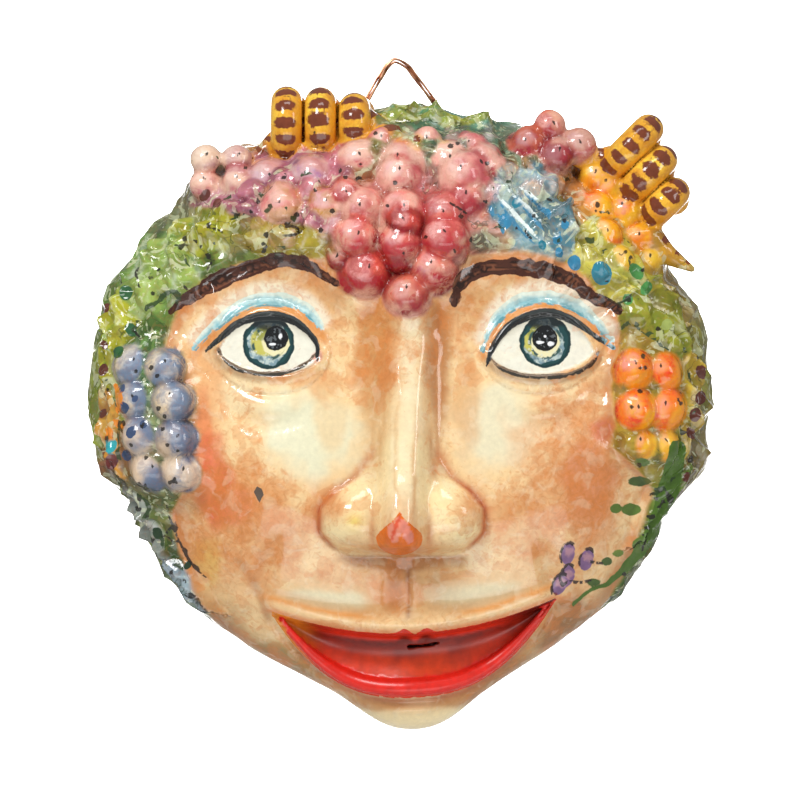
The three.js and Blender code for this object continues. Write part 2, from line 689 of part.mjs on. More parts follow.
function lidsAndLip() {
  const rolls = [];
  for (const side of [-1, 1]) {
    const lid = (edge, outwards) => (t) => [
      FACE_AXIS + side * (EYE_SPREAD + t * (EYE_HALF + 2)),
      EYE_V + EYE_TILT * t + almond(t)[edge] + outwards,
    ];
    rolls.push(laidRoll(lid("upper", 2), LID_RADIUS, 10), laidRoll(lid("lower", -2), 0.7 * LID_RADIUS, 8));
  }
  const lip = (t) => {
    const u = MOUTH_U + 0.97 * MOUTH_HALF * t;
    return [u, mouthCurves(u).lower + 0.8 * LIP_RADIUS];
  };
  rolls.push(laidRoll(lip, LIP_RADIUS, 16));
  return rolls;
}

function mouthSlit() {
  const slit = new THREE.BoxGeometry(SLIT_LENGTH, SLIT_REACH, SLIT_HEIGHT);
  const slitV = mouthCurves(SLIT_U).upper - SLIT_BELOW_LIP;
  slit.translate(...onFace(SLIT_U, slitV, SIDE_DEPTH + SLIT_REACH / 2).toArray());
  return toSolid(slit);
}

function makeMask() {
  const added = [
    ...lidsAndLip(),
    ...LEAVES.map(leafSolid),
    ...GRAPES.map(grapeSolid),
    ...COILS.map(tendrilCoil),
    ...TENDRIL_TAILS.map(tendrilTail),
  ];
  const face = closedSheet(OUTER_LEVEL, OUTER_TOLERANCE, 0, 0, relief, closeness);
  const hollow = closedSheet(INNER_LEVEL, INNER_TOLERANCE, WALL, -HOLLOW_PAST_RIM, hollowRelief, () => 1);
  const clay = added.reduce((joined, piece) => joined.add(piece), face);
  const cuts = [hollow, mouthSlit(), wireHole(-1), wireHole(1)];
  return cuts.reduce((left, piece) => left.subtract(piece), clay);
}

// One leg of the wire, from the shoulder beside the nail down to its hole
function wireLeg(side) {
  const along = new THREE.Vector3(side * LEG_REACH[side], 0, -LEG_DROP).normalize();
  const shoulder = new THREE.Vector3(side * APEX_HALF, 0, WIRE_WIDTH / 2 - APEX_DROP);
  const length = (LEG_END_Z - shoulder.z) / along.z;
  return { along, length, at: (distance) => shoulder.clone().addScaledVector(along, distance) };
}

function wireHole(side) {
  const leg = wireLeg(side);
  const length = leg.length + WIRE_WIDTH - WIRE_HOLE_START;
  const hole = new THREE.CylinderGeometry(WIRE_HOLE_RADIUS, WIRE_HOLE_RADIUS, length, 10);
  hole.applyQuaternion(new THREE.Quaternion().setFromUnitVectors(new THREE.Vector3(0, 1, 0), leg.along));
  hole.translate(...leg.at(WIRE_HOLE_START + length / 2).toArray());
  return toSolid(hole);
}

function makeWire() {
  const ends = [-1, 1].map((side) => {
    const leg = wireLeg(side);
    const end = leg.at(leg.length).add(new THREE.Vector3(0, -WIRE_TURN_IN, -WIRE_END_DROP));
    return [...[1, 8, 16, 26, leg.length - 8, leg.length].map(leg.at), end];
  });
  const apex = new THREE.Vector3(0, 0, WIRE_WIDTH / 2);
  const path = new THREE.CatmullRomCurve3([...ends[0].reverse(), apex, ...ends[1]]);
  const section = new THREE.Shape().absellipse(0, 0, WIRE_THICKNESS / 2, WIRE_WIDTH / 2, 0, 2 * Math.PI);
  return new THREE.ExtrudeGeometry(section, {
    curveSegments: 3,
    steps: 24,
    bevelEnabled: false,
    extrudePath: path,
  });
}

const glaze = new THREE.MeshStandardMaterial({ color: "#e6c9a0", roughness: 0.18, metalness: 0 });
const mask = new THREE.Mesh(toGeometry(makeMask()), glaze);
mask.name = "mask";

const copper = new THREE.MeshStandardMaterial({ color: "#b8683f", roughness: 0.35, metalness: 1 });
const loop = new THREE.Mesh(makeWire(), copper);
loop.name = "hanging_loop";

const part = new THREE.Group();
part.add(mask, loop);

export default part;
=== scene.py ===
import math

import bpy
import numpy as np
import openvdb
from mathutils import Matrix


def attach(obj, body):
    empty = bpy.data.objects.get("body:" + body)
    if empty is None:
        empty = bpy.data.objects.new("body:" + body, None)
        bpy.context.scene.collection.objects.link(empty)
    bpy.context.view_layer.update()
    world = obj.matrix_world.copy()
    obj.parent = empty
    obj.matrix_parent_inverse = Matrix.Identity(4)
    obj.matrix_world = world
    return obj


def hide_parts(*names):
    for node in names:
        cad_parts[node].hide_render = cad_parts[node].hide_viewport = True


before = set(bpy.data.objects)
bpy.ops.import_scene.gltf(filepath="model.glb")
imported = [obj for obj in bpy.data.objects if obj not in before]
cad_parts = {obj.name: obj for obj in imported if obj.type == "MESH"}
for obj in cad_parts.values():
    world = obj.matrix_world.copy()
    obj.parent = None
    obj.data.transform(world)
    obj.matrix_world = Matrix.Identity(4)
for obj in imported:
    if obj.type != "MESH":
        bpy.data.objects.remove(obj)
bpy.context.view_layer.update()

# Camera: straight in front of the face, as far back as a long lens allows, so that the picture keeps
# the proportions of the mask. The view is 440 mm wide at the face.
MM = 0.001
VIEW_WIDTH = 440
VIEW_DISTANCE = 4000
VIEW_MIDDLE = (1.65, -187)
VIEW_PLANE_Y = -30

camera_data = bpy.data.cameras.new("camera")
camera_data.sensor_width = 36
camera_data.lens = 36 * VIEW_DISTANCE / VIEW_WIDTH
camera_data.clip_end = 100
camera = bpy.data.objects.new("camera", camera_data)
camera.location = (VIEW_MIDDLE[0] * MM, (VIEW_PLANE_Y - VIEW_DISTANCE) * MM, VIEW_MIDDLE[1] * MM)
camera.rotation_euler = (math.radians(90), 0, 0)
bpy.context.scene.collection.objects.link(camera)
bpy.context.scene.camera = camera


# Stage: a pale floor and backdrop in one sweep, well clear of the mask. Four soft boxes light the mask: a
# key from the upper left, a fill on the right, a long low one and one above. A lamp lights the backdrop.
def linear(code):
    """The linear colour of an sRGB hex code, with alpha 1."""
    values = [int(code[i:i + 2], 16) / 255 for i in (1, 3, 5)]
    return (*[c / 12.92 if c <= 0.04045 else ((c + 0.055) / 1.055) ** 2.4 for c in values], 1.0)


def new_object(name, points, faces, edges=()):
    """A mesh object with its place in its vertices."""
    mesh = bpy.data.meshes.new(name)
    mesh.from_pydata(points, edges, faces)
    mesh.update()
    made = bpy.data.objects.new(name, mesh)
    bpy.context.scene.collection.objects.link(made)
    return made


def add_node(tree, kind, links=None, **settings):
    """Adds a shader or geometry node, sets what is named, and links or sets its inputs."""
    node = tree.nodes.new(kind)
    for name, value in settings.items():
        setattr(node, name, value)
    for key, value in (links or {}).items():
        if isinstance(value, bpy.types.NodeSocket):
            tree.links.new(value, node.inputs[key])
        else:
            node.inputs[key].default_value = value
    return node


def new_material(name):
    """An empty node material: its tree and its surface shader."""
    material = bpy.data.materials.new(name)
    material.use_nodes = True
    tree = material.node_tree
    tree.nodes.clear()
    surface = add_node(tree, "ShaderNodeBsdfPrincipled")
    add_node(tree, "ShaderNodeOutputMaterial", {"Surface": surface.outputs["BSDF"]})
    return material, tree, surface


BACKDROP_Y = 5.6


def studio_sweep():
    """A floor that curves up into a backdrop, as a strip of quads."""
    half_width, front, wall, floor, bend, height, steps = 8.0, -8.0, BACKDROP_Y, -1.7, 1.5, 7.0, 12
    profile = [(front, floor)]
    for i in range(steps + 1):
        angle = math.radians(90 * i / steps)
        profile.append((wall - bend + bend * math.sin(angle), floor + bend - bend * math.cos(angle)))
    profile.append((wall, height))
    points = [(x, y, z) for y, z in profile for x in (-half_width, half_width)]
    faces = [(i, i + 1, i + 3, i + 2) for i in range(0, 2 * len(profile) - 2, 2)]
    return new_object("studio_sweep", points, faces)


sweep = studio_sweep()
# Matt white paper: it has no shine of its own, so it stands behind the mask as an even, soft grey
paper, _, paper_surface = new_material("matt white paper")
paper_surface.inputs["Base Color"].default_value = linear("#e6e5e3")
paper_surface.inputs["Roughness"].default_value = 0.9
sweep.data.materials.append(paper)

world = bpy.data.worlds.new("studio")
world.use_nodes = True
world.node_tree.nodes["Background"].inputs["Color"].default_value = linear("#ffffff")
world.node_tree.nodes["Background"].inputs["Strength"].default_value = 0.34
bpy.context.scene.world = world
bpy.context.scene.view_settings.view_transform = "Standard"


def add_light(name, kind, power, place, target):
    """A light at a place in metres, turned to its target. Gives back its settings."""
    data = bpy.data.lights.new(name, kind)
    data.energy = power
    light = bpy.data.objects.new(name, data)
    light.location = place
    direction = np.array(target) - np.array(place)
    yaw = math.atan2(direction[0], direction[1])
    pitch = math.atan2(direction[2], math.hypot(direction[0], direction[1]))
    light.rotation_euler = (math.radians(90) + pitch, 0, -yaw)
    bpy.context.scene.collection.objects.link(light)
    return data


# Soft boxes: the place, target, width, height and power of each
SOFT_BOXES = {
    "key": ((-1.0, -1.7, 1.2), (0, 0, -0.2), 0.7, 0.7, 34),
    "fill": ((1.9, -1.3, 0.5), (0, 0, -0.2), 0.5, 1.2, 11),
    "low": ((0.2, -1.5, -1.45), (0, 0, -0.25), 2.4, 0.7, 12),
    "top": ((0.1, -0.9, 1.6), (0, 0, -0.2), 1.2, 0.4, 9),
}
for light_name, (light_place, light_target, width, height, power) in SOFT_BOXES.items():
    box = add_light(light_name, "AREA", power, light_place, light_target)
    box.shape = "RECTANGLE"
    box.size, box.size_y = width, height
wall_light = add_light("wall_light", "SPOT", 3600, (0, 2.2, 2.6), (0, BACKDROP_Y, -0.2))
wall_light.spot_size = math.radians(48)
wall_light.spot_blend = 0.35
wall_light.shadow_soft_size = 0.3


# Mask, the body: one shell of earthenware about 9 mm thick, pressed and modelled by hand, open at the
# back with a flat rim. Eyes, nose and mouth are carved, and the leaves, grapes and tendrils are luted on
# before the firing. All sizes are in mm: u to the right and v up from the face's middle, d out from the wall.
RIM_Y = 8
FACE_Z = -196
FACE_RADIUS = 153.5
SIDE_DEPTH = 13
DOME_DEPTH = 66
DOME_POWER = 2.5
RIM_TUCK = 0.03
WALL = 9


def hump(distance, width):
    """A smooth hump of height 1, falling to a third at the given width."""
    return np.exp(-((distance / width) ** 2))


def ramp(start, end, value):
    """0 before one value and 1 past the other, with soft ends."""
    t = np.clip((value - start) / (end - start), 0, 1)
    return t * t * (3 - 2 * t)


def mix(a, b, t):
    """Between a, where t is 0, and b, where it is 1."""
    return a + (b - a) * t


def soft_min(a, b, width):
    """The smaller of two distances, with the seam between them rounded."""
    h = np.clip(0.5 + 0.5 * (b - a) / width, 0, 1)
    return mix(b, a, h) - width * h * (1 - h)


def soft_max(a, b, width):
    """The larger of two distances, with the seam between them rounded."""
    return -soft_min(-a, -b, width)


def oval_dome(across, up, half, height):
    """A round dome of height 1 over an oval, and 0 outside it."""
    return np.clip(1 - (across / half) ** 2 - (up / height) ** 2, 0, 1) ** 0.6


def angle_of(u, v):
    """Degrees about the face's middle, from -90 at the chin, over the crown, to 270."""
    degrees = np.degrees(np.arctan2(v, u))
    return np.where(degrees < -90, degrees + 360, degrees)


def blob_noise(u, v, d, size, seed):
    """A smooth random field from -1 to 1 with blobs about size mm across."""
    lattice = np.random.default_rng(seed).uniform(-1, 1, (16, 16, 16)).astype(np.float32)
    total = 0
    cells = []
    for x in (u, v, d):
        base = np.floor(x / size).astype(np.int32)
        t = x / size - base
        cells.append((base, t * t * (3 - 2 * t)))
    (iu, tu), (iv, tv), (ik, tk) = cells
    for a in (0, 1):
        for b in (0, 1):
            for c in (0, 1):
                weight = (tu if a else 1 - tu) * (tv if b else 1 - tv) * (tk if c else 1 - tk)
                total = total + weight * lattice[(iu + a) % 16, (iv + b) % 16, (ik + c) % 16]
    return total


CHIN_ANGLE = -86.5


def outline(degrees):
    """The radius of the mask's outer edge at an angle, seen from the front: face, chin and leafy border."""
    radians = np.radians(degrees)
    from_chin = np.where(degrees > 90, degrees - 360, degrees) - CHIN_ANGLE
    leafy = ramp(-20, -8, degrees) - ramp(187, 199, degrees)
    scallop = np.sin(radians * 21 + 1.3 * np.sin(radians * 5))
    bulges = 5 * hump(degrees - 90, 40) + 6 * hump(degrees - 158, 15) + 4 * hump(degrees - 14, 10)
    spread = 2 * np.cos(2 * radians) + 2 * np.cos(radians)
    return FACE_RADIUS + spread + 18 * hump(from_chin, 15) + bulges + leafy * (13 + 1.2 * scallop)


# Where the garland begins: degrees about the face's middle and mm from it
GARLAND_EDGE = np.array([
    [-90, 195], [-56, 190], [-46, 156], [-32, 151], [-16, 146], [-8, 120], [8, 118], [25, 134], [42, 125],
    [56, 108], [70, 92], [90, 86], [110, 90], [122, 103], [135, 119], [152, 135], [164, 132], [174, 117],
    [196, 117], [203, 134], [220, 147], [238, 156], [249, 190], [270, 195],
])


def garland_edge(degrees):
    """The radius at which the face meets the garland."""
    return np.interp(degrees, GARLAND_EDGE[:, 0], GARLAND_EDGE[:, 1])


ANGLES = np.linspace(-90, 270, 1441)
OUTLINE = outline(ANGLES)


def outline_at(u, v):
    """The radius of the outer edge in the direction of a place on the face."""
    return np.interp(angle_of(u, v), ANGLES, OUTLINE)


MOUTH_U = 9
MOUTH_HALF = 77
UPPER_LIP_V = -119
LOWER_LIP_V = -152.5


def mouth_curves(u):
    """How far across the smile a point lies, -1 and 1 at its corners, and the v of both its edges there."""
    t = (u - MOUTH_U) / MOUTH_HALF
    inside = np.clip(t, -1, 1)
    tilt = 3.5 * inside
    upper = UPPER_LIP_V + 15 * inside ** 2 + tilt
    lower = LOWER_LIP_V + 48.5 * np.abs(inside) ** 2.6 + tilt
    return t, upper, lower


FACE_AXIS = 5
EYE_SPREAD = 74.5
EYE_V = 34
EYE_HALF = 28
EYE_ABOVE = 22
EYE_BELOW = 11


def almond(t):
    """The upper and lower edge of an open eye, from the line between its corners."""
    arch = np.clip(1 - t * t, 0, 1) ** 0.75
    return EYE_ABOVE * arch, -EYE_BELOW * arch


def eye_place(u, v, side):
    """Mm out from the middle of one eye, that as a share of its half width, and mm up from its corners."""
    across = (u - FACE_AXIS - side * EYE_SPREAD) * side
    t = across / EYE_HALF
    return across, t, v - EYE_V - 1.5 * t


def eye_relief(u, v):
    """Both eyeballs in their hollows, with lids, creases and bags, and the brows over them."""
    total = 0
    for side in (-1, 1):
        across, t, up = eye_place(u, v, side)
        upper, lower = almond(t)
        ball = np.sqrt(np.clip(1 - (across / 34) ** 2 - ((up - 4) / 26) ** 2, 0, 1))
        socket = hump(np.hypot(across / 46, (up - 4) / 30), 1)
        crease = np.where(up > 0, hump(upper + 8 - up, 2.6) * hump(t, 1.05), 0)
        beyond = np.minimum(upper - up, up - lower)
        lid = ramp(1.0, -0.6, beyond) * ramp(-7, -2.5, beyond) * ramp(1.35, 1.0, np.abs(t))
        bag = up + 27 - 14 * t * t
        brow = v - 83 + 26 * np.clip(0.2 + 0.62 * t, 0, 9) ** 2 + 14 * np.clip(-0.4 - t, 0, 9) ** 2
        total = total + 6 * ball - 8 * socket - 1.3 * crease + 1.7 * lid
        total = total + 3 * hump(bag, 9) * hump(t, 0.95) - 1.6 * hump(bag + 12, 6) * hump(t, 0.9)
        total = total + 3 * hump(brow, 10) * hump(t, 1.7)
    return total


def lobe(across, up, half, above, below):
    """An oval dome with its own reach above and below its middle."""
    return oval_dome(across, up, half, np.where(up > 0, above, below))


NOSE_U = 2.4
NOSE_TOP = 78
NOSE_LENGTH = 138
TIP_U = 1.4


def nose_place(u, v):
    """How far down the nose a point lies, from 0 to 1, and how many mm beside its ridge."""
    down = np.clip((NOSE_TOP - v) / NOSE_LENGTH, 0, 1)
    return down, u - NOSE_U - 6 * (1 - down)


def nose_half_width(v):
    """Half the width of the nose with its wings at a height."""
    return np.interp(v, (-76, -71, -63, -50, -40, -33, -22, -12, 10), (30, 37, 44.5, 45, 36, 26, 18, 15, 13))


def nose_relief(u, v):
    """Ridge, tip, wings and flanks of the nose, run into one another."""
    down, across = nose_place(u, v)
    below = ramp(-76.5, -69, v)
    ridge = np.interp(v, (-66, -10, 40, 62, NOSE_TOP), (21, 15, 8, 4, 0))
    ridge = ridge * below / (1 + (across / mix(12, 13, down)) ** 4)
    tip = 23 * lobe(u - TIP_U, v + 61, 17, 34, 15)
    wings = 14 * lobe(np.abs(u - NOSE_U) - 27, v + 57, 19, 20, 17)
    rise = np.interp(v, (-68, -50, -35, -20, 0, 20), (13.5, 13.5, 11.5, 8, 3, 0))
    flanks = rise * below * np.clip(1 - (across / nose_half_width(v)) ** 2, 0, 1) ** 0.6
    return (ridge ** 3 + tip ** 3 + wings ** 3 + flanks ** 3) ** (1 / 3)


def mouth_relief(u, v):
    """The opening sunk between the lips, the upper lip, the hollow under the lower one, and the groove."""
    t, upper, lower = mouth_curves(u)
    upward = np.clip((v - lower) / np.maximum(upper - lower, 0.01), 0, 1)
    ends = ramp(1.12, 0.86, np.abs(t))
    opening = (13 - 6 * t * t) * ends * ramp(0.03, 0.75, upward) * ramp(-0.6, 2.4, upper - v)
    off_rim = ramp(0.99, 0.9, np.hypot(u, v) / outline_at(u, v))
    under_lip = 3 * ends * hump(v - lower + 5, 3.5) * off_rim
    upper_lip = 4 * hump(t, 1.15) * hump(v - upper - 5, 6)
    from_groove = np.abs(u - 4)
    groove = hump(from_groove, 4) - 0.6 * hump(from_groove - 9, 4)
    groove = groove * ramp(-112, -104, v) * ramp(-76, -84, v)
    return upper_lip - opening - under_lip - 1.1 * groove


def cheek_relief(u, v):
    """Round cheeks with the fold of the smile beside them, and the chin."""
    across = np.abs(u - FACE_AXIS)
    cheek = 5.5 * hump(np.hypot((across - 80) / 42, (v + 38) / 40), 1)
    fold = 2.4 * hump(across - 80 + 0.32 * (v + 92), 4.5) * hump(v + 92, 22)
    chin = 6 * hump(np.hypot((u - 7) / 26, (v + 165) / 13), 1)
    return cheek - fold + chin


# Bunches of grapes in rows: v, first and last u, how many, radius, and how far the middles stand out
BUNCHES = [
    [139, -20, 49, 4, 10.5, 1], [130, 1, 36, 2, 11, 3], [112, -17, 24, 3, 11.5, 2],
    [96, -20, 24, 3, 11.5, 3], [78, -17.5, 21, 2, 11.5, 3], [65, 4, 4, 1, 10, 2],
    [141, -106, -88.5, 2, 8.5, 5], [128, -106, -87.5, 2, 9, 4],
    [132, -72, -45, 2, 9.5, -1], [115, -62, -38, 2, 10, 0],
    [159.7, 85, 85, 1, 9.2, 4], [148.5, 71.5, 99, 2, 10, 4], [143.5, 88, 88, 1, 10, 8],
    [132, 108, 108, 1, 8, 0], [113, 109, 125, 2, 9.5, 1], [99, 116, 134, 2, 8, 2], [86, 122, 138, 2, 7, 1],
    [27, -144, -126, 2, 10, 1], [8.5, -143, -122.7, 2, 10.3, 1], [-11, -140, -120.5, 2, 10.3, 1],
    [-30, -134, -117.7, 2, 9.8, 1],
    [25, 130, 146, 2, 9.5, 1], [4, 131.5, 147, 2, 10.3, 1], [-15, 132.5, 147, 2, 7.5, 0],
    [150, -10, 42, 3, 7.5, 1], [121, -27, 36, 2, 7.5, 1], [104, 2, 2, 1, 7.5, 5], [88, 1, 1, 1, 7.5, 5],
    [87, -31, 30, 2, 6, -1], [126, 117, 117, 1, 9, -2],
]
# By how much, in mm, a grape may be out of its row: more in the middle bunch than in the others
ROW_SHIFT = np.random.default_rng(12).uniform(-1, 1, (64, 4))
MIDDLE_BUNCH = 50
GRAPES = np.array([
    (u, v, radius, stand)
    for v, first, last, count, radius, stand in BUNCHES
    for u in np.linspace(first, last, count)
])
GRAPES += ROW_SHIFT[:len(GRAPES)] * np.where(
    np.abs(GRAPES[:, :1]) < MIDDLE_BUNCH, [2.6, 2.2, 1.3, 1.6], [1.1, 1.1, 0.5, 0.6])
# Flat grapes pressed into the clay between the bunches: v, first and last u, how many, and radius
FLAT_ROWS = [
    (151, -14, 50, 5, 8), (126, -80, -30, 4, 8), (112, -78, -30, 4, 8.5), (100, -62, -36, 2, 8),
    (138, 60, 76, 2, 7), (124, 74, 98, 3, 7), (120, 30, 50, 2, 8),
]
FLAT_GRAPES = [(u, v + (3 if k % 2 else -2), radius) for v, first, last, count, radius in FLAT_ROWS
               for k, u in enumerate(np.linspace(first, last, count))]


def near_grapes(u, v, away, close):
    """1 within close of a grape's middle, in its radii, 0 further off than away, and soft between."""
    most = np.zeros_like(u)
    for gu, gv, radius, _ in GRAPES:
        most = np.maximum(most, ramp(away, close, np.hypot(u - gu, v - gv) / radius))
    return most


def beside_grapes(u, v):
    """1 on and close to the grapes, 0 away from them."""
    return near_grapes(u, v, 1.75, 1.15)


def bunch_relief(u, v):
    """The swell of clay under the bunches, and the flat grapes pressed into it."""
    flat = np.zeros_like(u)
    for gu, gv, radius in FLAT_GRAPES:
        flat = np.maximum(flat, oval_dome(u - gu, v - gv, radius, radius))
    return 7 * near_grapes(u, v, 2.3, 0.6) + 3.2 * flat


def garland_relief(u, v):
    """The step from the face up to the garland, lower towards the rim."""
    degrees = angle_of(u, v)
    radius = np.hypot(u, v)
    border = garland_edge(degrees)
    towards_rim = ramp(0.86, 1, radius / outline(degrees))
    return 7 * ramp(border - 3, border + 7, radius) * mix(1, 0.3, towards_rim)


def relief(u, v):
    """How far all that is modelled stands out from the plain dome, without the leaves."""
    degrees = angle_of(u, v)
    border = garland_edge(degrees)
    bare = ramp(border + 9, border - 3, np.hypot(u, v))
    return (bare * (eye_relief(u, v) + cheek_relief(u, v)) + nose_relief(u, v) + mouth_relief(u, v)
            + garland_relief(u, v) + bunch_relief(u, v))


def hollow_relief(u, v):
    """How far the inside follows the nose, the mouth and the eye hollows."""
    nose = 11 * hump(np.hypot((u - 2) / 22, (v + 42) / 30), 1)
    mouth = 13 * hump(np.hypot((u - MOUTH_U) / 92, (v + 120) / 32), 1)
    socket = 6 * hump(np.hypot((np.abs(u - FACE_AXIS) - EYE_SPREAD) / 40, (v - EYE_V - 4) / 30), 1)
    return nose - mouth - socket


def dome_distance(u, v, d, inset):
    """About the distance from the plain dome, positive outside."""
    radius = outline_at(u, v) - inset
    share = np.hypot(u, v) / radius
    lift = np.clip(d - SIDE_DEPTH, 0, None) / (DOME_DEPTH - inset)
    steep = np.hypot(DOME_POWER * share ** (DOME_POWER - 1) / radius, 2 * lift / (DOME_DEPTH - inset))
    above = (share ** DOME_POWER + lift ** 2 - 1) / np.maximum(steep, 0.008)
    beside = np.hypot(u, v) - radius * (1 - RIM_TUCK * np.clip(1 - d / SIDE_DEPTH, 0, None) ** 2)
    return np.where(d > SIDE_DEPTH, above, beside)


def surface_depth(u, v):
    """The depth of the modelled front at places on the face."""
    u, v = np.asarray(u, float), np.asarray(v, float)
    share = np.minimum(0.95, np.hypot(u, v) / outline_at(u, v))
    return SIDE_DEPTH + DOME_DEPTH * np.sqrt(1 - share ** DOME_POWER) + relief(u, v)


# Vine leaves: middle u and v, the way the tip points in degrees, length and width
LEAVES = [
    (-56, 94, 185, 58, 34), (-97, 99, 205, 58, 46), (-127, 70, 235, 56, 48), (-147, 36, 262, 56, 36),
    (-148, -8, 268, 50, 32), (-132, -56, 295, 48, 24), (-109, -92, 312, 46, 20), (18, 160, 5, 66, 34),
    (70, 100, -55, 60, 42), (108, 76, -35, 54, 44), (136, 50, -65, 54, 44), (150, 6, -88, 58, 32),
    (136, -48, -112, 54, 22),
]
LEAF_RISE = 7
LEAF_MARGIN = 16
VEIN_PITCH = 15
SHEET_LENGTH = 215
DOME_SHARE = 0.9
SIDE_SHARE = 0.1


def sheet_share(u, v, d):
    """How far a point lies from the middle of the dome, 0, to its back rim, 1."""
    radius = np.clip(np.hypot(u, v) / outline_at(u, v), 0, 1.2)
    lift = np.arctan2(radius ** (DOME_POWER / 2), np.clip(d - SIDE_DEPTH, 0, None) / DOME_DEPTH)
    on_side = DOME_SHARE + SIDE_SHARE * (1 - d / SIDE_DEPTH)
    return np.where(d > SIDE_DEPTH, DOME_SHARE * lift / (math.pi / 2), on_side)


def near_leaf(leaf, u, v):
    """Which points are close enough to a leaf's middle to lie on it."""
    return np.hypot(u - leaf[0], v - leaf[1]) < 0.5 * leaf[3] + LEAF_MARGIN


def leaf_frame(leaf, share, degrees):
    """t from a leaf's stalk to its tip, c from its midrib to its edge, and both in mm."""
    u, v, heading, length, width = leaf
    middle = float(angle_of(u, v))
    radius = math.hypot(u, v)
    middle_share = min(0.99, radius / float(outline(middle)))
    middle_s = DOME_SHARE * math.asin(middle_share ** (DOME_POWER / 2)) / (math.pi / 2)
    turn = math.radians(heading - middle)
    outwards = (share - middle_s) * SHEET_LENGTH
    around = np.radians(degrees - middle) * radius
    ahead = outwards * math.cos(turn) + around * math.sin(turn)
    aside = around * math.cos(turn) - outwards * math.sin(turn)
    t = np.clip(ahead / length + 0.5, -0.2, 1.2)
    lobes = 1 - 0.14 * np.cos(4 * math.pi * t)
    half = (width / 2) * np.maximum(0.3, np.sin(math.pi * np.clip(t, 0, 1) ** 0.7)) * lobes
    return t, aside / half, ahead, aside


def leaf_relief(u, v, share, degrees):
    """Leaves folded up along the midrib, with a pair of cut veins every few mm. The highest leaf counts."""
    flat = ramp(1, 0.6, share)
    total = np.zeros_like(u)
    for number, leaf in enumerate(LEAVES):
        near = near_leaf(leaf, u, v)
        t, c, ahead, aside = leaf_frame(leaf, share[near], degrees[near])
        cover = ramp(1.15, 0.8, np.abs(c)) * ramp(-0.06, 0.1, t) * ramp(1.08, 0.88, t)
        fold = 0.3 + 0.7 * ramp(0, 0.55, np.abs(c)) - 0.3 * ramp(0.55, 1, np.abs(c))
        phase = (ahead - 0.8 * np.abs(aside)) / VEIN_PITCH + 0.3 * number
        from_vein = np.abs(phase - np.round(phase)) * VEIN_PITCH
        veins = 1.6 * hump(from_vein, 2.2) * ramp(0.06, 0.3, np.abs(c))
        height = cover * (LEAF_RISE * fold * flat[near] - veins)
        total[near] = np.maximum(total[near], height)
    return total


# Coiled tendrils: the middle of each as u, v and depth, the slant of its turns from upright and how much
# further its axis dips, both in degrees, how far each turn reaches up and down, and their pitch
TENDRIL_RADIUS = 8.6
COIL_RADIUS = 11
COIL_TURNS = 2.62
COIL_POINTS = 64
COILS = [((-42, 161, 44), 0, 0, (12, 11.5, 8.5), 18.6), ((138, 133, 40), 45, 15, (13, 11, 8), 18)]


def coil_path(middle, slant, dip, reaches, pitch):
    """The middle line of a coil: it steps sideways only while it is behind, so that its turns lie parallel."""
    turned, along = math.radians(slant), math.radians(slant + dip)
    turn = np.linspace(0, COIL_TURNS, COIL_POINTS)
    angle = 2 * math.pi * turn - math.pi / 2
    passed = np.floor(turn) + ramp(0.5, 1, turn % 1)
    advance = (passed - 1) * pitch
    rise = np.interp(passed, (0, 1, 2), reaches) * np.sin(angle)
    return np.stack([
        middle[0] + advance * math.cos(along) + rise * math.sin(turned),
        middle[1] - advance * math.sin(along) + rise * math.cos(turned),
        middle[2] + COIL_RADIUS * np.cos(angle),
    ], axis=1)


def on_surface(path):
    """Points of u, v and stand as points of u, v and depth."""
    path = np.asarray(path, float)
    return np.stack([path[:, 0], path[:, 1], surface_depth(path[:, 0], path[:, 1]) + path[:, 2]], axis=1)


def spline(points, steps):
    """A smooth path through the points."""
    points = np.asarray(points, float)
    padded = np.vstack([2 * points[0] - points[1], points, 2 * points[-1] - points[-2]])
    path = []
    for i in range(len(points) - 1):
        a, b, c, d = padded[i:i + 4]
        for t in np.linspace(0, 1, steps, endpoint=False):
            path.append(0.5 * (2 * b + (c - a) * t + (2 * a - 5 * b + 4 * c - d) * t * t
                               + (3 * b - a - 3 * c + d) * t ** 3))
    path.append(points[-1])
    return np.array(path)


# Loose ends of the tendrils, as u, v and stand, with their radius at both ends
TAILS = [
    ([(-20, 165, 4), (-8, 158, 2), (4, 150, 1), (24, 147, 0)], 6, 3.5),
    ([(-66, 152, 3), (-74, 144, 1), (-82, 137, -1)], 6, 4),
    ([(121, 143, 2), (112, 142, 2), (101, 141, -1)], 6.5, 4),
    ([(139, 98, 0), (147, 90, 2), (155, 85, 4), (162, 81, 5)], 8, 1.8),
]


def tube(u, v, d, path, radii, reach=16):
    """Distance from a round tube along a path, and how far along it from 0 to 1, near it only."""
    low, high = path.min(axis=0) - reach, path.max(axis=0) + reach
    near = ((u > low[0]) & (u < high[0]) & (v > low[1]) & (v < high[1]) & (d > low[2]) & (d < high[2]))
    points = np.stack([u[near], v[near], d[near]], axis=1)
    best = np.full(len(points), 1e3)
    along = np.zeros(len(points))
    count = len(path) - 1
    for i in range(count):
        step = path[i + 1] - path[i]
        t = np.clip(((points - path[i]) @ step) / (step @ step), 0, 1)
        share = (i + t) / count
        distance = np.linalg.norm(points - path[i] - t[:, None] * step, axis=1)
        distance = distance - np.interp(share, np.linspace(0, 1, len(radii)), radii)
        along = np.where(distance < best, share, along)
        best = np.minimum(best, distance)
    return near, best, along


LIP_RADIUS = 4.8
LIP_RADII = [0.8, 2.8, 4.2, 4.6, LIP_RADIUS, 4.6, 4.2, 2.8, 0.8]


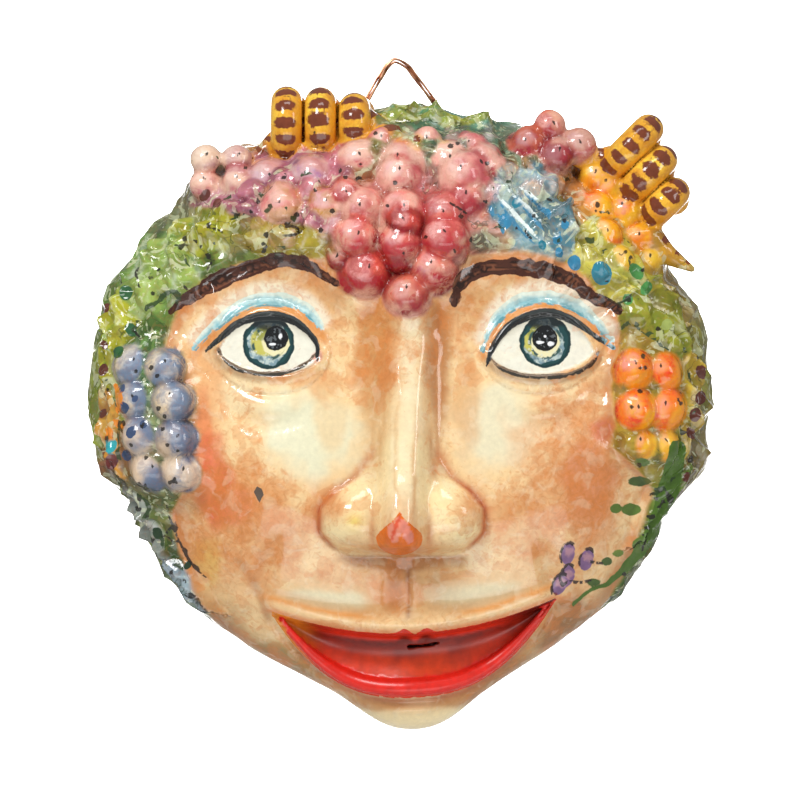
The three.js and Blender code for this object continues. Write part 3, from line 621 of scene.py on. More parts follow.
def lip_path():
    """The middle line of the rolled lower lip, from corner to corner."""
    u = MOUTH_U + 0.94 * MOUTH_HALF * np.linspace(-1, 1, 33)
    v = mouth_curves(u)[2] + 0.8 * LIP_RADIUS
    return np.stack([u, v, surface_depth(u, v) + 0.15 * LIP_RADIUS], axis=1)


TUBES = [(coil_path(*coil), [TENDRIL_RADIUS], 3.2) for coil in COILS]
TUBES += [(spline(on_surface(path), 6), [start, end], 3) for path, start, end in TAILS]
TUBES.append((lip_path(), LIP_RADII, 1.0))
GRAPE_DEPTHS = surface_depth(GRAPES[:, 0], GRAPES[:, 1]) + GRAPES[:, 3] - 0.3 * GRAPES[:, 2]

# The wire's legs, in the same u, v and depth: the shoulder by the nail, the way down, and the length to
# the end inside. Each leg spreads by its own reach on the way from the shoulder down to the rim. The holes
# for them begin a little above the clay and end a little past the wire.
SHOULDER_REACH = 5
SHOULDER_DROP = 1.15
RIM_DROP = 21.5
FOOT_DROP = 42
HOLE_START = 19
HOLE_PAST = 3
HOLE_RADIUS = 2.4
WIRE_LEGS = []
for side, leg_reach in ((-1, 12.6), (1, 16)):
    direction = np.array([side * leg_reach, -RIM_DROP, 0]) / math.hypot(leg_reach, RIM_DROP)
    shoulder = np.array([side * SHOULDER_REACH, -SHOULDER_DROP - FACE_Z, RIM_Y])
    WIRE_LEGS.append((shoulder, direction, (SHOULDER_DROP - FOOT_DROP) / direction[1]))


def uneven(u, v, d):
    """The unevenness of clay modelled by hand: slight on the face, lumpy under the garland."""
    over_edge = ramp(-4, 8, np.hypot(u, v) - garland_edge(angle_of(u, v)))
    face = 0.35 * blob_noise(u, v, d, 24, 1) + 0.12 * blob_noise(u, v, d, 9, 2)
    around = np.radians(angle_of(u, v)) * 140
    lie = (np.hypot(u, v) + 0.55 * around + 17 * blob_noise(u, v, d, 34, 5)) / 17
    cross = (np.hypot(u, v) - 1.6 * around + 13 * blob_noise(u, v, d, 27, 6)) / 31
    folds = 4.4 * (1 - np.abs(np.sin(math.pi * lie))) ** 1.4
    folds = folds + 2.6 * (1 - np.abs(np.sin(math.pi * cross))) ** 1.4 - 1.6
    leafy = 0.7 * blob_noise(u, v, d, 12, 3) + 0.15 * blob_noise(u, v, d, 6, 4) + folds
    return face + over_edge * ramp(5, 36, d) * leafy


class Chart:
    """Values kept on a flat grid of two coordinates, read with straight lines between them."""

    def __init__(self, function, a_range, b_range, step):
        """Works the function out over both ranges."""
        self.low = (a_range[0], b_range[0])
        self.step = step
        a = np.arange(a_range[0], a_range[1] + step[0], step[0])
        b = np.arange(b_range[0], b_range[1] + step[1], step[1])
        grid_a, grid_b = (x.ravel() for x in np.meshgrid(a, b, indexing="ij"))
        self.values = function(grid_a, grid_b).reshape(len(a), len(b)).astype(np.float32)

    def __call__(self, a, b):
        """The values at any places, those off the grid as at its edge."""
        cells = []
        for x, low, step, count in zip((a, b), self.low, self.step, self.values.shape):
            place = np.clip((x - low) / step, 0, count - 1.001)
            base = place.astype(np.int32)
            cells.append((base, place - base))
        (i, s), (j, t) = cells
        values = self.values
        lower = values[i, j] * (1 - s) + values[i + 1, j] * s
        upper = values[i, j + 1] * (1 - s) + values[i + 1, j + 1] * s
        return lower * (1 - t) + upper * t


def garland_form(share, degrees):
    """Leaves and unevenness, as they wrap round the dome, by share and angle."""
    lift = np.minimum(share / DOME_SHARE, 1) * math.pi / 2
    radius = np.interp(degrees, ANGLES, OUTLINE) * np.sin(lift) ** (2 / DOME_POWER)
    u, v = radius * np.cos(np.radians(degrees)), radius * np.sin(np.radians(degrees))
    down_side = np.clip((share - DOME_SHARE) / SIDE_SHARE, 0, 1)
    d = SIDE_DEPTH + DOME_DEPTH * np.cos(lift) - SIDE_DEPTH * down_side
    return leaf_relief(u, v, share, degrees) + uneven(u, v, d)


GRID_LOW = np.array([-178.0, -178.0, -4.0])
GRID_HIGH = np.array([182.0, 186.0, 114.0])
U_RANGE, V_RANGE = zip(GRID_LOW[:2], GRID_HIGH[:2])
relief_chart = Chart(relief, U_RANGE, V_RANGE, (0.6, 0.6))
grape_chart = Chart(beside_grapes, U_RANGE, V_RANGE, (0.8, 0.8))
hollow_chart = Chart(hollow_relief, U_RANGE, V_RANGE, (2, 2))
garland_chart = Chart(garland_form, (0, 1), (-90, 270), (0.0025, 0.15))


SLIT_U = 14
SLIT_HALF_LENGTH = 8.3
SLIT_HALF_HEIGHT = 1.0
SLIT_BELOW_LIP = 4.5
SLIT_DEPTH = 44
SLIT_SLANT = 0.8
FADE_DEPTH = 6.5


def slit(u, v, d):
    """Distance from the slit between the lips, which slants up through the wall."""
    up = v - mouth_curves(u)[1] + SLIT_BELOW_LIP - SLIT_SLANT * (SLIT_DEPTH - d)
    return np.maximum(np.abs(u - SLIT_U) - SLIT_HALF_LENGTH, np.abs(up) - SLIT_HALF_HEIGHT)


def clay(u, v, d):
    """The distance from the surface of the whole mask, positive outside. Exact only near it."""
    fade = ramp(0, FADE_DEPTH, d)
    leaves = garland_chart(sheet_share(u, v, d), angle_of(u, v)) * (1 - 0.85 * grape_chart(u, v))
    carving = relief_chart(u, v) + leaves
    body = dome_distance(u, v, d, 0) - fade * carving
    for (gu, gv, radius, _), depth in zip(GRAPES, GRAPE_DEPTHS):
        box = radius + 6
        near = (np.abs(u - gu) < box) & (np.abs(v - gv) < box) & (np.abs(d - depth) < box)
        distance = np.sqrt((u[near] - gu) ** 2 + (v[near] - gv) ** 2 + (d[near] - depth) ** 2)
        distance -= radius * (1 + 0.075 * blob_noise(u[near], v[near], d[near], 9, 7))
        body[near] = soft_min(body[near], distance, 3.2)
    for path, radii, seam in TUBES:
        near, distance, _ = tube(u, v, d, path, radii)
        body[near] = soft_min(body[near], distance, seam)
    body = soft_max(body, -d, 1.5)
    body = soft_max(body, -(dome_distance(u, v, d, WALL) - fade * hollow_chart(u, v)), 2.5)
    body = np.where(d > SIDE_DEPTH, np.maximum(body, -slit(u, v, d)), body)
    for shoulder, direction, length in WIRE_LEGS:
        hole = np.array([shoulder + HOLE_START * direction, shoulder + (length + HOLE_PAST) * direction])
        near, distance, _ = tube(u, v, d, hole, [HOLE_RADIUS], 8)
        body[near] = soft_max(body[near], -distance, 0.6)
    return body


def clay_gradient(u, v, d, step=0.25):
    """The way out of the clay: how fast the distance grows along u, v and d."""
    return np.stack([
        clay(u + step, v, d) - clay(u - step, v, d),
        clay(u, v + step, d) - clay(u, v - step, d),
        clay(u, v, d + step) - clay(u, v, d - step),
    ], axis=1) / (2 * step)


# The grid, and how far outside the plain surface its points can still be near the clay: little over the
# face, more where leaves and folds stand up
VOXEL = 1.25
FACE_BAND = 3.5
LEAF_BAND = 14.5
SLIT_BOX = np.array([[3, -130, 13], [24, -116, 80]])


def clay_mesh():
    """The skin of the clay: samples it on a grid, skins that, and draws every point onto the surface."""
    axes = [np.arange(low, high, VOXEL) for low, high in zip(GRID_LOW, GRID_HIGH)]
    flat_u, flat_v = (a.ravel() for a in np.meshgrid(axes[0], axes[1], indexing="ij"))
    shape = (len(axes[0]), len(axes[1]))
    carved = relief_chart(flat_u, flat_v)
    over_face = np.hypot(flat_u, flat_v) < garland_edge(angle_of(flat_u, flat_v)) - 8
    limit = 2.5 * VOXEL
    close = np.zeros((*shape, len(axes[2])), bool)
    field = np.empty(close.shape, np.float32)
    for k, depth in enumerate(axes[2]):
        level = np.full_like(flat_u, depth)
        fade = ramp(0, FADE_DEPTH, depth)
        outer = dome_distance(flat_u, flat_v, level, 0) - fade * carved
        inner = dome_distance(flat_u, flat_v, level, WALL) - fade * hollow_chart(flat_u, flat_v)
        field[:, :, k] = np.maximum(np.maximum(outer, -inner), -depth).reshape(shape)
        band = np.where(over_face, FACE_BAND, LEAF_BAND)
        close[:, :, k] = ((outer > -limit) & (outer < band)).reshape(shape)
    boxes = [(path.min(axis=0) - 12, path.max(axis=0) + 12) for path, _, _ in TUBES]
    for (gu, gv, radius, _), depth in zip(GRAPES, GRAPE_DEPTHS):
        middle = np.array([gu, gv, depth])
        boxes.append((middle - radius - 3, middle + radius + 3))
    for shoulder, direction, length in WIRE_LEGS:
        ends = (shoulder + length * direction - 5, shoulder + HOLE_START * direction + 5)
        boxes.append((np.minimum(*ends) - 4, np.maximum(*ends) + 4))
    boxes.append(SLIT_BOX)
    for low, high in boxes:
        low = np.floor((low - GRID_LOW) / VOXEL).astype(int).clip(0)
        high = np.ceil((high - GRID_LOW) / VOXEL).astype(int)
        close[low[0]:high[0], low[1]:high[1], low[2]:high[2]] = True
    i, j, k = np.nonzero(close)
    field[close] = clay(axes[0][i], axes[1][j], axes[2][k])
    grid = openvdb.FloatGrid(limit)
    grid.copyFromArray(np.clip(field, -limit, limit))
    points, _, quads = grid.convertToPolygons(0.0, 0.0)
    points = points.astype(float) * VOXEL + GRID_LOW
    for _ in range(2):
        u, v, d = points.T
        gradient = clay_gradient(u, v, d)
        size = np.maximum((gradient ** 2).sum(axis=1), 0.3)
        step = (clay(u, v, d) / size)[:, None] * gradient
        points = points - np.clip(step, -0.6 * VOXEL, 0.6 * VOXEL)
    return points, quads


# How readily points are given up in the thinning: those of the front less than those inside
MOST_TRIANGLES = 196000
LOOSE_FRONT = 0.2
LOOSE_HOLLOW = 0.7


def in_hollow(u, v, d):
    """Whether points lie on the inner side of the wall, or on the flat rim."""
    inner = dome_distance(u, v, d, WALL) - ramp(0, FADE_DEPTH, d) * hollow_chart(u, v)
    return (inner < 1) | (d < 0.5)


def in_frame(points):
    """Points of u, v and d in mm as places in the frame, in metres."""
    return np.stack([points[:, 0], RIM_Y - points[:, 2], FACE_Z + points[:, 1]], axis=1) * MM


def skin_object(name, points, quads):
    """The skin as a mesh object, thinned out where it is smooth."""
    dense = bpy.data.meshes.new(name + "_dense")
    dense.vertices.add(len(points))
    dense.vertices.foreach_set("co", in_frame(points).astype(np.float32).ravel())
    dense.loops.add(4 * len(quads))
    dense.loops.foreach_set("vertex_index", quads.astype(np.int32).ravel())
    dense.polygons.add(len(quads))
    dense.polygons.foreach_set("loop_start", np.arange(0, 4 * len(quads), 4, dtype=np.int32))
    dense.update(calc_edges=True)
    dense.validate()
    made = bpy.data.objects.new(name, dense)
    bpy.context.scene.collection.objects.link(made)
    hollow = in_hollow(*points.T)
    loose = made.vertex_groups.new(name="loose")
    loose.add(np.nonzero(~hollow)[0].tolist(), LOOSE_FRONT, "REPLACE")
    loose.add(np.nonzero(hollow)[0].tolist(), LOOSE_HOLLOW, "REPLACE")
    thin = made.modifiers.new("thin", "DECIMATE")
    thin.ratio = MOST_TRIANGLES / (2 * len(quads))
    thin.vertex_group = loose.name
    thin.vertex_group_factor = 1
    plain = bpy.data.meshes.new_from_object(made.evaluated_get(bpy.context.evaluated_depsgraph_get()))
    made.modifiers.clear()
    made.vertex_groups.clear()
    made.data = plain
    plain.name = name
    bpy.data.meshes.remove(dense)
    return made


def mesh_points(mesh):
    """A mesh's points as u, v and d in mm."""
    places = np.empty(3 * len(mesh.vertices), np.float32)
    mesh.vertices.foreach_get("co", places)
    places = places.reshape(-1, 3) / MM
    return places[:, 0].astype(float), places[:, 2].astype(float) - FACE_Z, RIM_Y - places[:, 1].astype(float)


skin_points, skin_quads = clay_mesh()
mask = skin_object("mask_body", skin_points, skin_quads)
U, V, D = mesh_points(mask.data)
gradient = clay_gradient(U, V, D, 0.5)
normals = gradient / np.linalg.norm(gradient, axis=1)[:, None]
normals = np.stack([normals[:, 0], -normals[:, 2], normals[:, 1]], axis=1)
mask.data.polygons.foreach_set("use_smooth", np.ones(len(mask.data.polygons), bool))
mask.data.normals_split_custom_set_from_vertices(normals.tolist())


# Mask, the painting: oxide colours brushed on the raw glaze in layers. Broad washes lie at the bottom,
# then dabs of a second colour, then shapes with clear edges, then thin dark lines and dots. Each layer is
# kept in the points of the mesh as a colour and how far, in mm, the point lies inside the brush mark. A
# point well off every mark has OFF_MARK, and a mark keeps its colour as far as KEPT_AROUND outside its edge.
PIXEL = 0.55
PICTURE_MIDDLE = (397, 416.4)
OFF_MARK = -9.0
KEPT_AROUND = -3.2
BARE = in_hollow(U, V, D)
DEGREES = angle_of(U, V)
RADIUS = np.hypot(U, V)
PAINTED = ~BARE


def colour(code):
    """The linear colour of an sRGB hex code, as three numbers."""
    return np.array(linear(code)[:3])


def laid_over(below, above, share):
    """Colours laid over others at each point, as far as the share says there."""
    share = share[:, None]
    return below * (1 - share) + above * share


def wash(where, code, share):
    """Lets a colour run into the washes where and as strongly as the share says."""
    where[:] = laid_over(where, colour(code), np.clip(share, 0, 1))


def washes(where, *layers):
    """Lets one colour after the other run in, each given with its share."""
    for code, share in layers:
        wash(where, code, share)


def at_points(near, values, elsewhere=0.0):
    """Values known at the near points only, and one value at all others."""
    everywhere = np.full(len(U), elsewhere)
    everywhere[near] = values
    return everywhere


def from_pixels(*places):
    """Places read off in pixels of the 800 px view, as u and v in mm."""
    return np.array([((x - PICTURE_MIDDLE[0]) * PIXEL, (PICTURE_MIDDLE[1] - y) * PIXEL) for x, y in places])


def soft_oval(u, v, half, height, wobble=0.25):
    """1 inside an oval with an uneven, soft edge, 0 outside."""
    reach = np.hypot((U - u) / half, (V - v) / height) + wobble * EDGE_NOISE
    return ramp(1.25, 0.6, reach)


EDGE_NOISE = blob_noise(U, V, D, 11, 21) + 0.5 * blob_noise(U, V, D, 5, 22)
FINE_NOISE = blob_noise(U, V, D, 4, 23)
BROAD_NOISE = blob_noise(U, V, D, 26, 24)

# Washes on the face: u, v, half width and half height of each, its colour and its strength
# Some of these are painted light and shade: brown down both sides of the nose's bridge, darker on the right, brown
# under the nose and dark brown on the jaws, most on the right, are painted shade, and the brightest cream on the
# chin is painted light where the chin faces down
FACE_WASHES = [
    (4, -95, 56, 17, "#d3a068", 0.75),
    (2, 47, 30, 32, "#dca368", 0.9), (22, 34, 9, 34, "#b0703c", 0.7), (-15, 30, 9, 34, "#c48c54", 0.65),
    (-92, 62, 34, 12, "#f0d2a0", 0.7), (74, 67, 32, 12, "#e2bd86", 0.7), (-40, 62, 14, 18, "#dfa870", 0.7),
    (48, 56, 12, 20, "#d69c64", 0.7), (-81, 12, 30, 10, "#f2dcae", 0.7), (82, 12, 26, 9, "#ead3a6", 0.6),
    (-46, -10, 27, 24, "#e5e3c3", 0.95), (54, -4, 22, 26, "#e6dfbe", 0.9), (-108, 12, 14, 34, "#e3a268", 0.7),
    (112, 50, 12, 14, "#dda266", 0.7), (-88, -58, 40, 32, "#e2a56c", 0.7), (90, -20, 30, 34, "#e2b080", 0.65),
    (-106, -14, 6, 30, "#dd7040", 0.6), (-100, -34, 10, 24, "#dc5c3c", 0.8), (-90, -48, 15, 11, "#dd6a44", 0.6),
    (104, -32, 15, 26, "#d27850", 0.7), (113, -8, 8, 8, "#d55a48", 0.7), (106, -58, 16, 18, "#d88a58", 0.6),
    (-104, -82, 10, 14, "#dcaa4c", 0.7), (-84, -88, 16, 16, "#e0a873", 0.5), (-42, -101, 26, 7, "#dedab4", 0.8),
    (46, -98, 26, 8, "#dcd5ae", 0.75), (-62, -66, 14, 22, "#d99a62", 0.5), (66, -62, 16, 20, "#d4975e", 0.5),
    (-66, -138, 36, 14, "#a08a54", 0.9), (7, -166, 36, 17, "#ffe9b6", 1.0), (-14, -158, 22, 4, "#cf9c66", 0.8),
    (34, -156, 16, 5, "#c08a58", 0.8), (64, -146, 36, 14, "#9c6236", 0.9),
    (96, -118, 18, 22, "#8c5c38", 0.9), (-98, -112, 14, 22, "#d8ae78", 0.7), (-36, 6, 10, 30, "#e6c590", 0.6),
    (38, 8, 9, 28, "#d6a068", 0.6), (4, -79, 38, 5, "#a56c40", 0.8), (90, -80, 20, 16, "#d9a570", 0.5),
]
# Places with fewer dabs of the second colour, below 0, and with more: u, v, half width, half height, by how much
FACE_DABS = [
    (-46, -10, 30, 28, -0.5), (54, -4, 26, 30, -0.4), (-42, -101, 30, 10, -0.4), (46, -98, 30, 12, -0.4),
    (-88, -50, 40, 36, 0.25), (92, -30, 32, 50, 0.25), (2, 47, 30, 32, 0.3), (7, -164, 30, 12, -0.4),
]

ground = np.tile(colour("#f1cf9a"), (len(U), 1))
for u, v, half, height, code, share in FACE_WASHES:
    wash(ground, code, share * soft_oval(u, v, half, height))
second = np.tile(colour("#d5803f"), (len(U), 1))
dabs = np.full(len(U), 0.24)
for u, v, half, height, more in FACE_DABS:
    dabs += more * soft_oval(u, v, half, height)

# The nose: a pale ridge, a painted highlight, with brown down both sides as painted shade, cream wings with a
# little yellow, dark red at their outer edges and brown under them, both a brown line and painted shade, and the
# groove down to the lip with a brown line in it
_, off_ridge = nose_place(U, V)
nose_half = nose_half_width(V)
off_flank = np.abs(off_ridge) - nose_half
on_nose = ramp(66, 50, V) * ramp(-78, -70, V)
on_front = np.clip(1.25 - np.abs(off_ridge) / nose_half, 0, 1) * ramp(-2, -24, V)
streak = 0.6 + 0.5 * blob_noise(U * 2.2, V / 3, D, 5, 25)
washes(
    ground,
    ("#fae4ae", 0.9 * ramp(0.12, 0.4, on_front) * ramp(-78, -74, V)),
    # Brown down both sides of the ridge, darker on the right: painted shade
    ("#b46f3c", 1.0 * on_nose * streak * hump(off_ridge - 16, 5.5) * ramp(-44, -26, V)),
    ("#c58a4c", 0.8 * on_nose * streak * hump(off_ridge + 15, 5.5) * ramp(-44, -26, V)),
    # The pale streak down the ridge: a painted highlight
    ("#f0dfb6", 0.85 * on_nose * hump(off_ridge - 1 + 1.5 * EDGE_NOISE, 7)),
    ("#cd9a62", 0.5 * on_nose * hump(off_ridge + 4 + 2 * EDGE_NOISE, 1.2) * ramp(30, 0, V)),
    ("#c98c54", 0.6 * on_nose * hump(off_ridge - 6 + 2 * EDGE_NOISE, 1.4) * ramp(20, -20, V)),
    ("#d98a4c", 0.75 * hump(np.hypot((np.abs(U - NOSE_U) - 38) / 9, (V + 47) / 9) + 0.3 * EDGE_NOISE, 1)),
    ("#cf8f58", 0.8 * on_front * hump((V + 72) / 5, 1)),
    ("#d9925c", 0.75 * hump(np.hypot((U - TIP_U) / 16, (V + 62) / 16) + 0.25 * EDGE_NOISE, 1)),
    ("#c57a4a", 0.7 * hump(np.abs(U - 2) - 15.5, 2.2) * hump((V + 62) / 11, 1)),
    ("#e8c63c", 0.6 * hump(np.hypot((U + 23) / 4, (V + 57) / 4), 1)),
    ("#a8412a", 0.9 * hump(off_flank - 0.3, 1.5) * ramp(-30, -42, V) * ramp(-75, -68, V)),
    ("#c26a40", 0.6 * hump(off_flank - 1, 3.2) * ramp(-12, -24, V) * ramp(-75, -66, V)),
    # Brown under the nose: a brown line that is also painted shade
    ("#9c5c34", 0.6 * hump(V + 77.2 - 0.9 * FINE_NOISE, 1.7) * ramp(38, 30, np.abs(U - 3))),
    ("#b4713f", 0.95 * hump((U + 1.2 + 1.6 * EDGE_NOISE) / 7.5, 1) * ramp(-78, -82, V) * ramp(-112, -100, V)),
    ("#8a4c28", 0.7 * hump(U - 6.3 - 0.5 * EDGE_NOISE, 1.5) * ramp(-80, -86, V) * ramp(-117, -112, V)),
    ("#d8a878", 0.5 * hump((np.abs(U - 3) - 17 + 2 * EDGE_NOISE) / 4, 1) * ramp(-80, -84, V) * ramp(-110, -100, V)),
)
dabs -= np.maximum(0.08 * on_front, 0.3 * on_nose * hump(off_ridge, 12))

# The lips: a cream ridge over the upper lip with a brown line of painted shade above it, orange along it, and brown
# painted shade in the hollow under the lower one
over_mouth, upper, lower = mouth_curves(U)
off_middle = np.abs(over_mouth)
in_mouth = ramp(1.14, 1.0, off_middle)
washes(
    ground,
    ("#c58a54", 0.55 * in_mouth * hump(V - upper - 12, 3.5) * ramp(0.1, 0.4, off_middle)),
    ("#f6d09a", 0.9 * in_mouth * hump(V - upper - 4.5, 3.6)),
    ("#e08a34", 0.75 * in_mouth * hump(V - upper - 8.5 + 0.8 * EDGE_NOISE, 2.0) * ramp(0.1, 0.5, off_middle)),
    ("#e0702c", 0.7 * in_mouth * hump(V - upper - 1.2, 1.8)),
    ("#c98c52", 0.6 * in_mouth * hump(V - lower + 7, 4)),
)

# The garland's ground colours at angles about the face: next to the face, and at the rim
GARLAND_GROUND = [
    (-60, "#5d7a2c", "#39501f"), (-35, "#56742a", "#3c541c"), (-20, "#7c8f3a", "#75682c"),
    (-8, "#b9a03a", "#8d7a3c"), (5, "#ccb03c", "#a8a43c"), (20, "#c0a43c", "#a89c40"),
    (32, "#c4b454", "#d8b040"), (42, "#dbb24a", "#e8b62c"), (52, "#ccba7c", "#d99a3c"),
    (60, "#dba894", "#b89a7c"), (68, "#d08a8c", "#6f9a80"), (80, "#cf8088", "#5f9484"),
    (90, "#d47c84", "#86a05a"), (100, "#d2747e", "#b89a4c"), (108, "#c2746c", "#d9982c"),
    (116, "#94843c", "#cc9a50"), (138, "#7f9440", "#9a9a70"), (146, "#6f9040", "#7d9c5a"),
    (158, "#78984a", "#7fa03c"), (170, "#5f9150", "#a9b53c"), (182, "#a6b684", "#a8b040"),
    (188, "#bfae90", "#8a5a44"), (196, "#8f9a60", "#6f6a3a"), (206, "#7f8a48", "#8a9a48"),
    (216, "#4f6430", "#6c7a3a"), (226, "#8f9a70", "#9aa9a0"), (240, "#6f8a98", "#5a7288"),
]
ground_angles = [row[0] for row in GARLAND_GROUND]
wandering = DEGREES + 5 * BROAD_NOISE + 3 * EDGE_NOISE
inner_ground, outer_ground = (
    np.stack([np.interp(wandering, ground_angles, [colour(row[k])[c] for row in GARLAND_GROUND])
              for c in range(3)], axis=1)
    for k in (1, 2)
)
border = garland_edge(DEGREES)
outwards = (RADIUS - border) / np.maximum(outline_at(U, V) - border, 1)
garland = laid_over(inner_ground, outer_ground, ramp(0.35, 0.8, outwards + 0.12 * EDGE_NOISE))
uneven_degrees = DEGREES + 4 * FINE_NOISE
on_garland = ramp(-1.5, 1.5, RADIUS - border + 1.5 * EDGE_NOISE)
on_garland = on_garland * ramp(-50, -44, uneven_degrees) * ramp(240, 234, uneven_degrees)

# A rust-coloured edge where the face meets the garland
beside_garland = hump(RADIUS - border + 3 + 2 * EDGE_NOISE, 4) * ramp(-48, -42, DEGREES) * ramp(238, 232, DEGREES)
wash(ground, "#b8602c", 0.6 * beside_garland * ramp(-0.5, 0.5, BROAD_NOISE + 0.4))

# Each leaf in the order of LEAVES: its first and second colour
LEAF_COLOURS = [
    ("#5f7a2c", "#b8a238"), ("#44802c", "#b8b430"), ("#3f7f34", "#a8c060"), ("#458540", "#c8c634"),
    ("#88a058", "#dc963a"), ("#4a5636", "#a0a8a0"), ("#3c5a2c", "#a4b8c4"), ("#3f7f5c", "#a8b040"),
    ("#d4dcc8", "#5c96a8"), ("#b4c460", "#d4c850"), ("#d8be44", "#8a962c"), ("#a0a838", "#d8b440"),
    ("#3c5e22", "#7a9a3c"),
]
wash(garland, "#c4c45c", 0.7 * soft_oval(86, 115, 9, 8))
wash(garland, "#7c8274", 0.8 * soft_oval(47, 96, 12, 8))
warmth = np.clip(4 * (garland[:, 0] - 1.15 * garland[:, 1]), 0, 1)[:, None]
garland_second = garland * 0.5 + 0.4 * (colour("#2f5c24") * (1 - warmth) + colour("#d2601c") * warmth)
leaf_lines = np.full(len(U), OFF_MARK)
share_of_sheet = sheet_share(U, V, D)
for leaf, (first_code, second_code) in zip(LEAVES, LEAF_COLOURS):
    near = near_leaf(leaf, U, V)
    t, c, ahead, aside = leaf_frame(leaf, share_of_sheet[near], DEGREES[near])
    noise = EDGE_NOISE[near]
    cover = ramp(1.12, 0.95, np.abs(c) + 0.12 * noise) * ramp(-0.03, 0.05, t) * ramp(1.05, 0.95, t)
    streak = ramp(0.1, 0.7, np.abs(c) + 0.35 * noise + 0.2 * BROAD_NOISE[near])
    painted = laid_over(colour(first_code), colour(second_code), 0.6 * streak)
    garland[near] = laid_over(garland[near], painted, 0.85 * cover)
    garland_second[near] = laid_over(garland_second[near], colour(second_code), cover)
    vein = 0.85 - np.abs(aside + 2 * noise)
    vein = np.maximum(vein, 0.9 - np.abs(np.abs(c) - 1) * leaf[4] / 2)
    broken = np.where(FINE_NOISE[near] + 0.4 * noise > 0.1, vein, -2)
    leaf_lines[near] = np.maximum(leaf_lines[near], np.where((t > 0.1) & (t < 0.9), broken, -2))

# Over the left brow the clay between the grapes is purple, going over to pink beside the middle bunch
purple_edge = V - (115 - 0.2 * (U + 110)) + 3 * EDGE_NOISE
purple = ramp(-2, 2, purple_edge) * ramp(-118, -112, U) * ramp(-20, -28, U) * ramp(1.02, 0.9, outwards)
mauve = np.tile(colour("#b088aa"), (len(U), 1))
wash(mauve, "#dc8480", ramp(-80, -52, U + 10 * EDGE_NOISE))
wash(mauve, "#d89a5c", 0.6 * ramp(0.2, 0.7, EDGE_NOISE - BROAD_NOISE) * ramp(142, 132, V))
wash(mauve, "#ecc8bc", 0.8 * ramp(0.15, 0.5, BROAD_NOISE + 0.7 * FINE_NOISE))
garland = laid_over(garland, mauve, purple)
garland_second = laid_over(garland_second, colour("#b8687c"), purple)
# The flat grapes are pink beside the middle bunch and orange on the right, each with a darker crescent
for u, v, radius in FLAT_GRAPES:
    skin_code, crescent_code = ("#e09a9c", "#93485c") if u < 55 else ("#e89a58", "#b05a2c")
    reach = np.hypot(U - u, V - v)
    on_grape = ramp(radius + 0.5, radius - 1, reach) * (D > 30)
    garland = laid_over(garland, colour(skin_code), 0.6 * on_grape)
    ring = hump(reach - radius - 0.3, 0.9) * (D > 30) * ramp(0.3, -0.4, (U - u - V + v) / radius)
    wash(garland, crescent_code, 0.7 * ring)

# Each row of grapes in the order of BUNCHES: its colour, its other colour, which side that lies on, and
# where it begins, from -1 at the far side to 1
BUNCH_COLOURS = [
    ("#eaa496", "#cf6c6c", -90, -0.1), ("#e89c90", "#cb6266", -60, -0.2), ("#e48478", "#c04448", -120, -0.2),
    ("#e4786a", "#c03840", -80, -0.2), ("#dc5c4c", "#b0242e", -100, -0.2), ("#dc6c54", "#b03038", -90, -0.1),
    ("#ecc8ae", "#c48c90", -60, 0.0), ("#e6a894", "#b8646e", -90, 0.0), ("#b47ca4", "#dca09c", 60, 0.0),
    ("#da7c78", "#c08a3c", -90, 0.1), ("#d8684c", "#a83038", -90, -0.2), ("#a82c3c", "#d0684c", 80, 0.5),
    ("#b84048", "#8c2630", -90, 0.0), ("#f89a24", "#fbc838", 90, 0.0), ("#ee5a28", "#fbbc28", -20, 0.0),
    ("#fbb81c", "#ea7a18", -90, 0.0), ("#f8b01c", "#f0ca40", 0, 0.0), ("#dcc8a8", "#76869e", -10, -0.6),
    ("#e0c8a4", "#74849c", -14, -0.4), ("#d8bea0", "#727f98", -6, -0.6), ("#e0c4a4", "#6c7c98", -20, -0.35),
    ("#ea3c14", "#fdae20", -40, 0.35), ("#e83a14", "#fdb82c", -25, 0.3), ("#ee8018", "#fbc838", 0, 0.1),
    ("#e08c82", "#bc5058", -70, -0.1), ("#d86a60", "#b03c44", -80, -0.1), ("#d45040", "#a02832", -90, 0.0),
    ("#ce4438", "#98202a", -90, 0.0), ("#c85448", "#96262e", -90, -0.1), ("#f08420", "#fbbe24", -20, 0.1),
]
lines = np.full(len(U), OFF_MARK)
line_ink = np.tile(colour("#26231f"), (len(U), 1))
# How far each point lies from its two nearest grapes, for the painted shade in the creases between them
nearest = np.full((2, len(U)), 99.0)
for (u, row_v, radius, _), depth in zip(GRAPES, GRAPE_DEPTHS):
    off = np.sqrt((U - u) ** 2 + (V - row_v) ** 2 + (D - depth) ** 2) - radius
    nearest[1] = np.minimum(nearest[1], np.maximum(nearest[0], off))
    nearest[0] = np.minimum(nearest[0], off)
shade_between_grapes = ramp(2.4, 0.4, nearest[1] - nearest[0]) * ramp(5, 1, nearest[0])
number = 0
smooth_forms = np.zeros(len(U))
rng = np.random.default_rng(31)
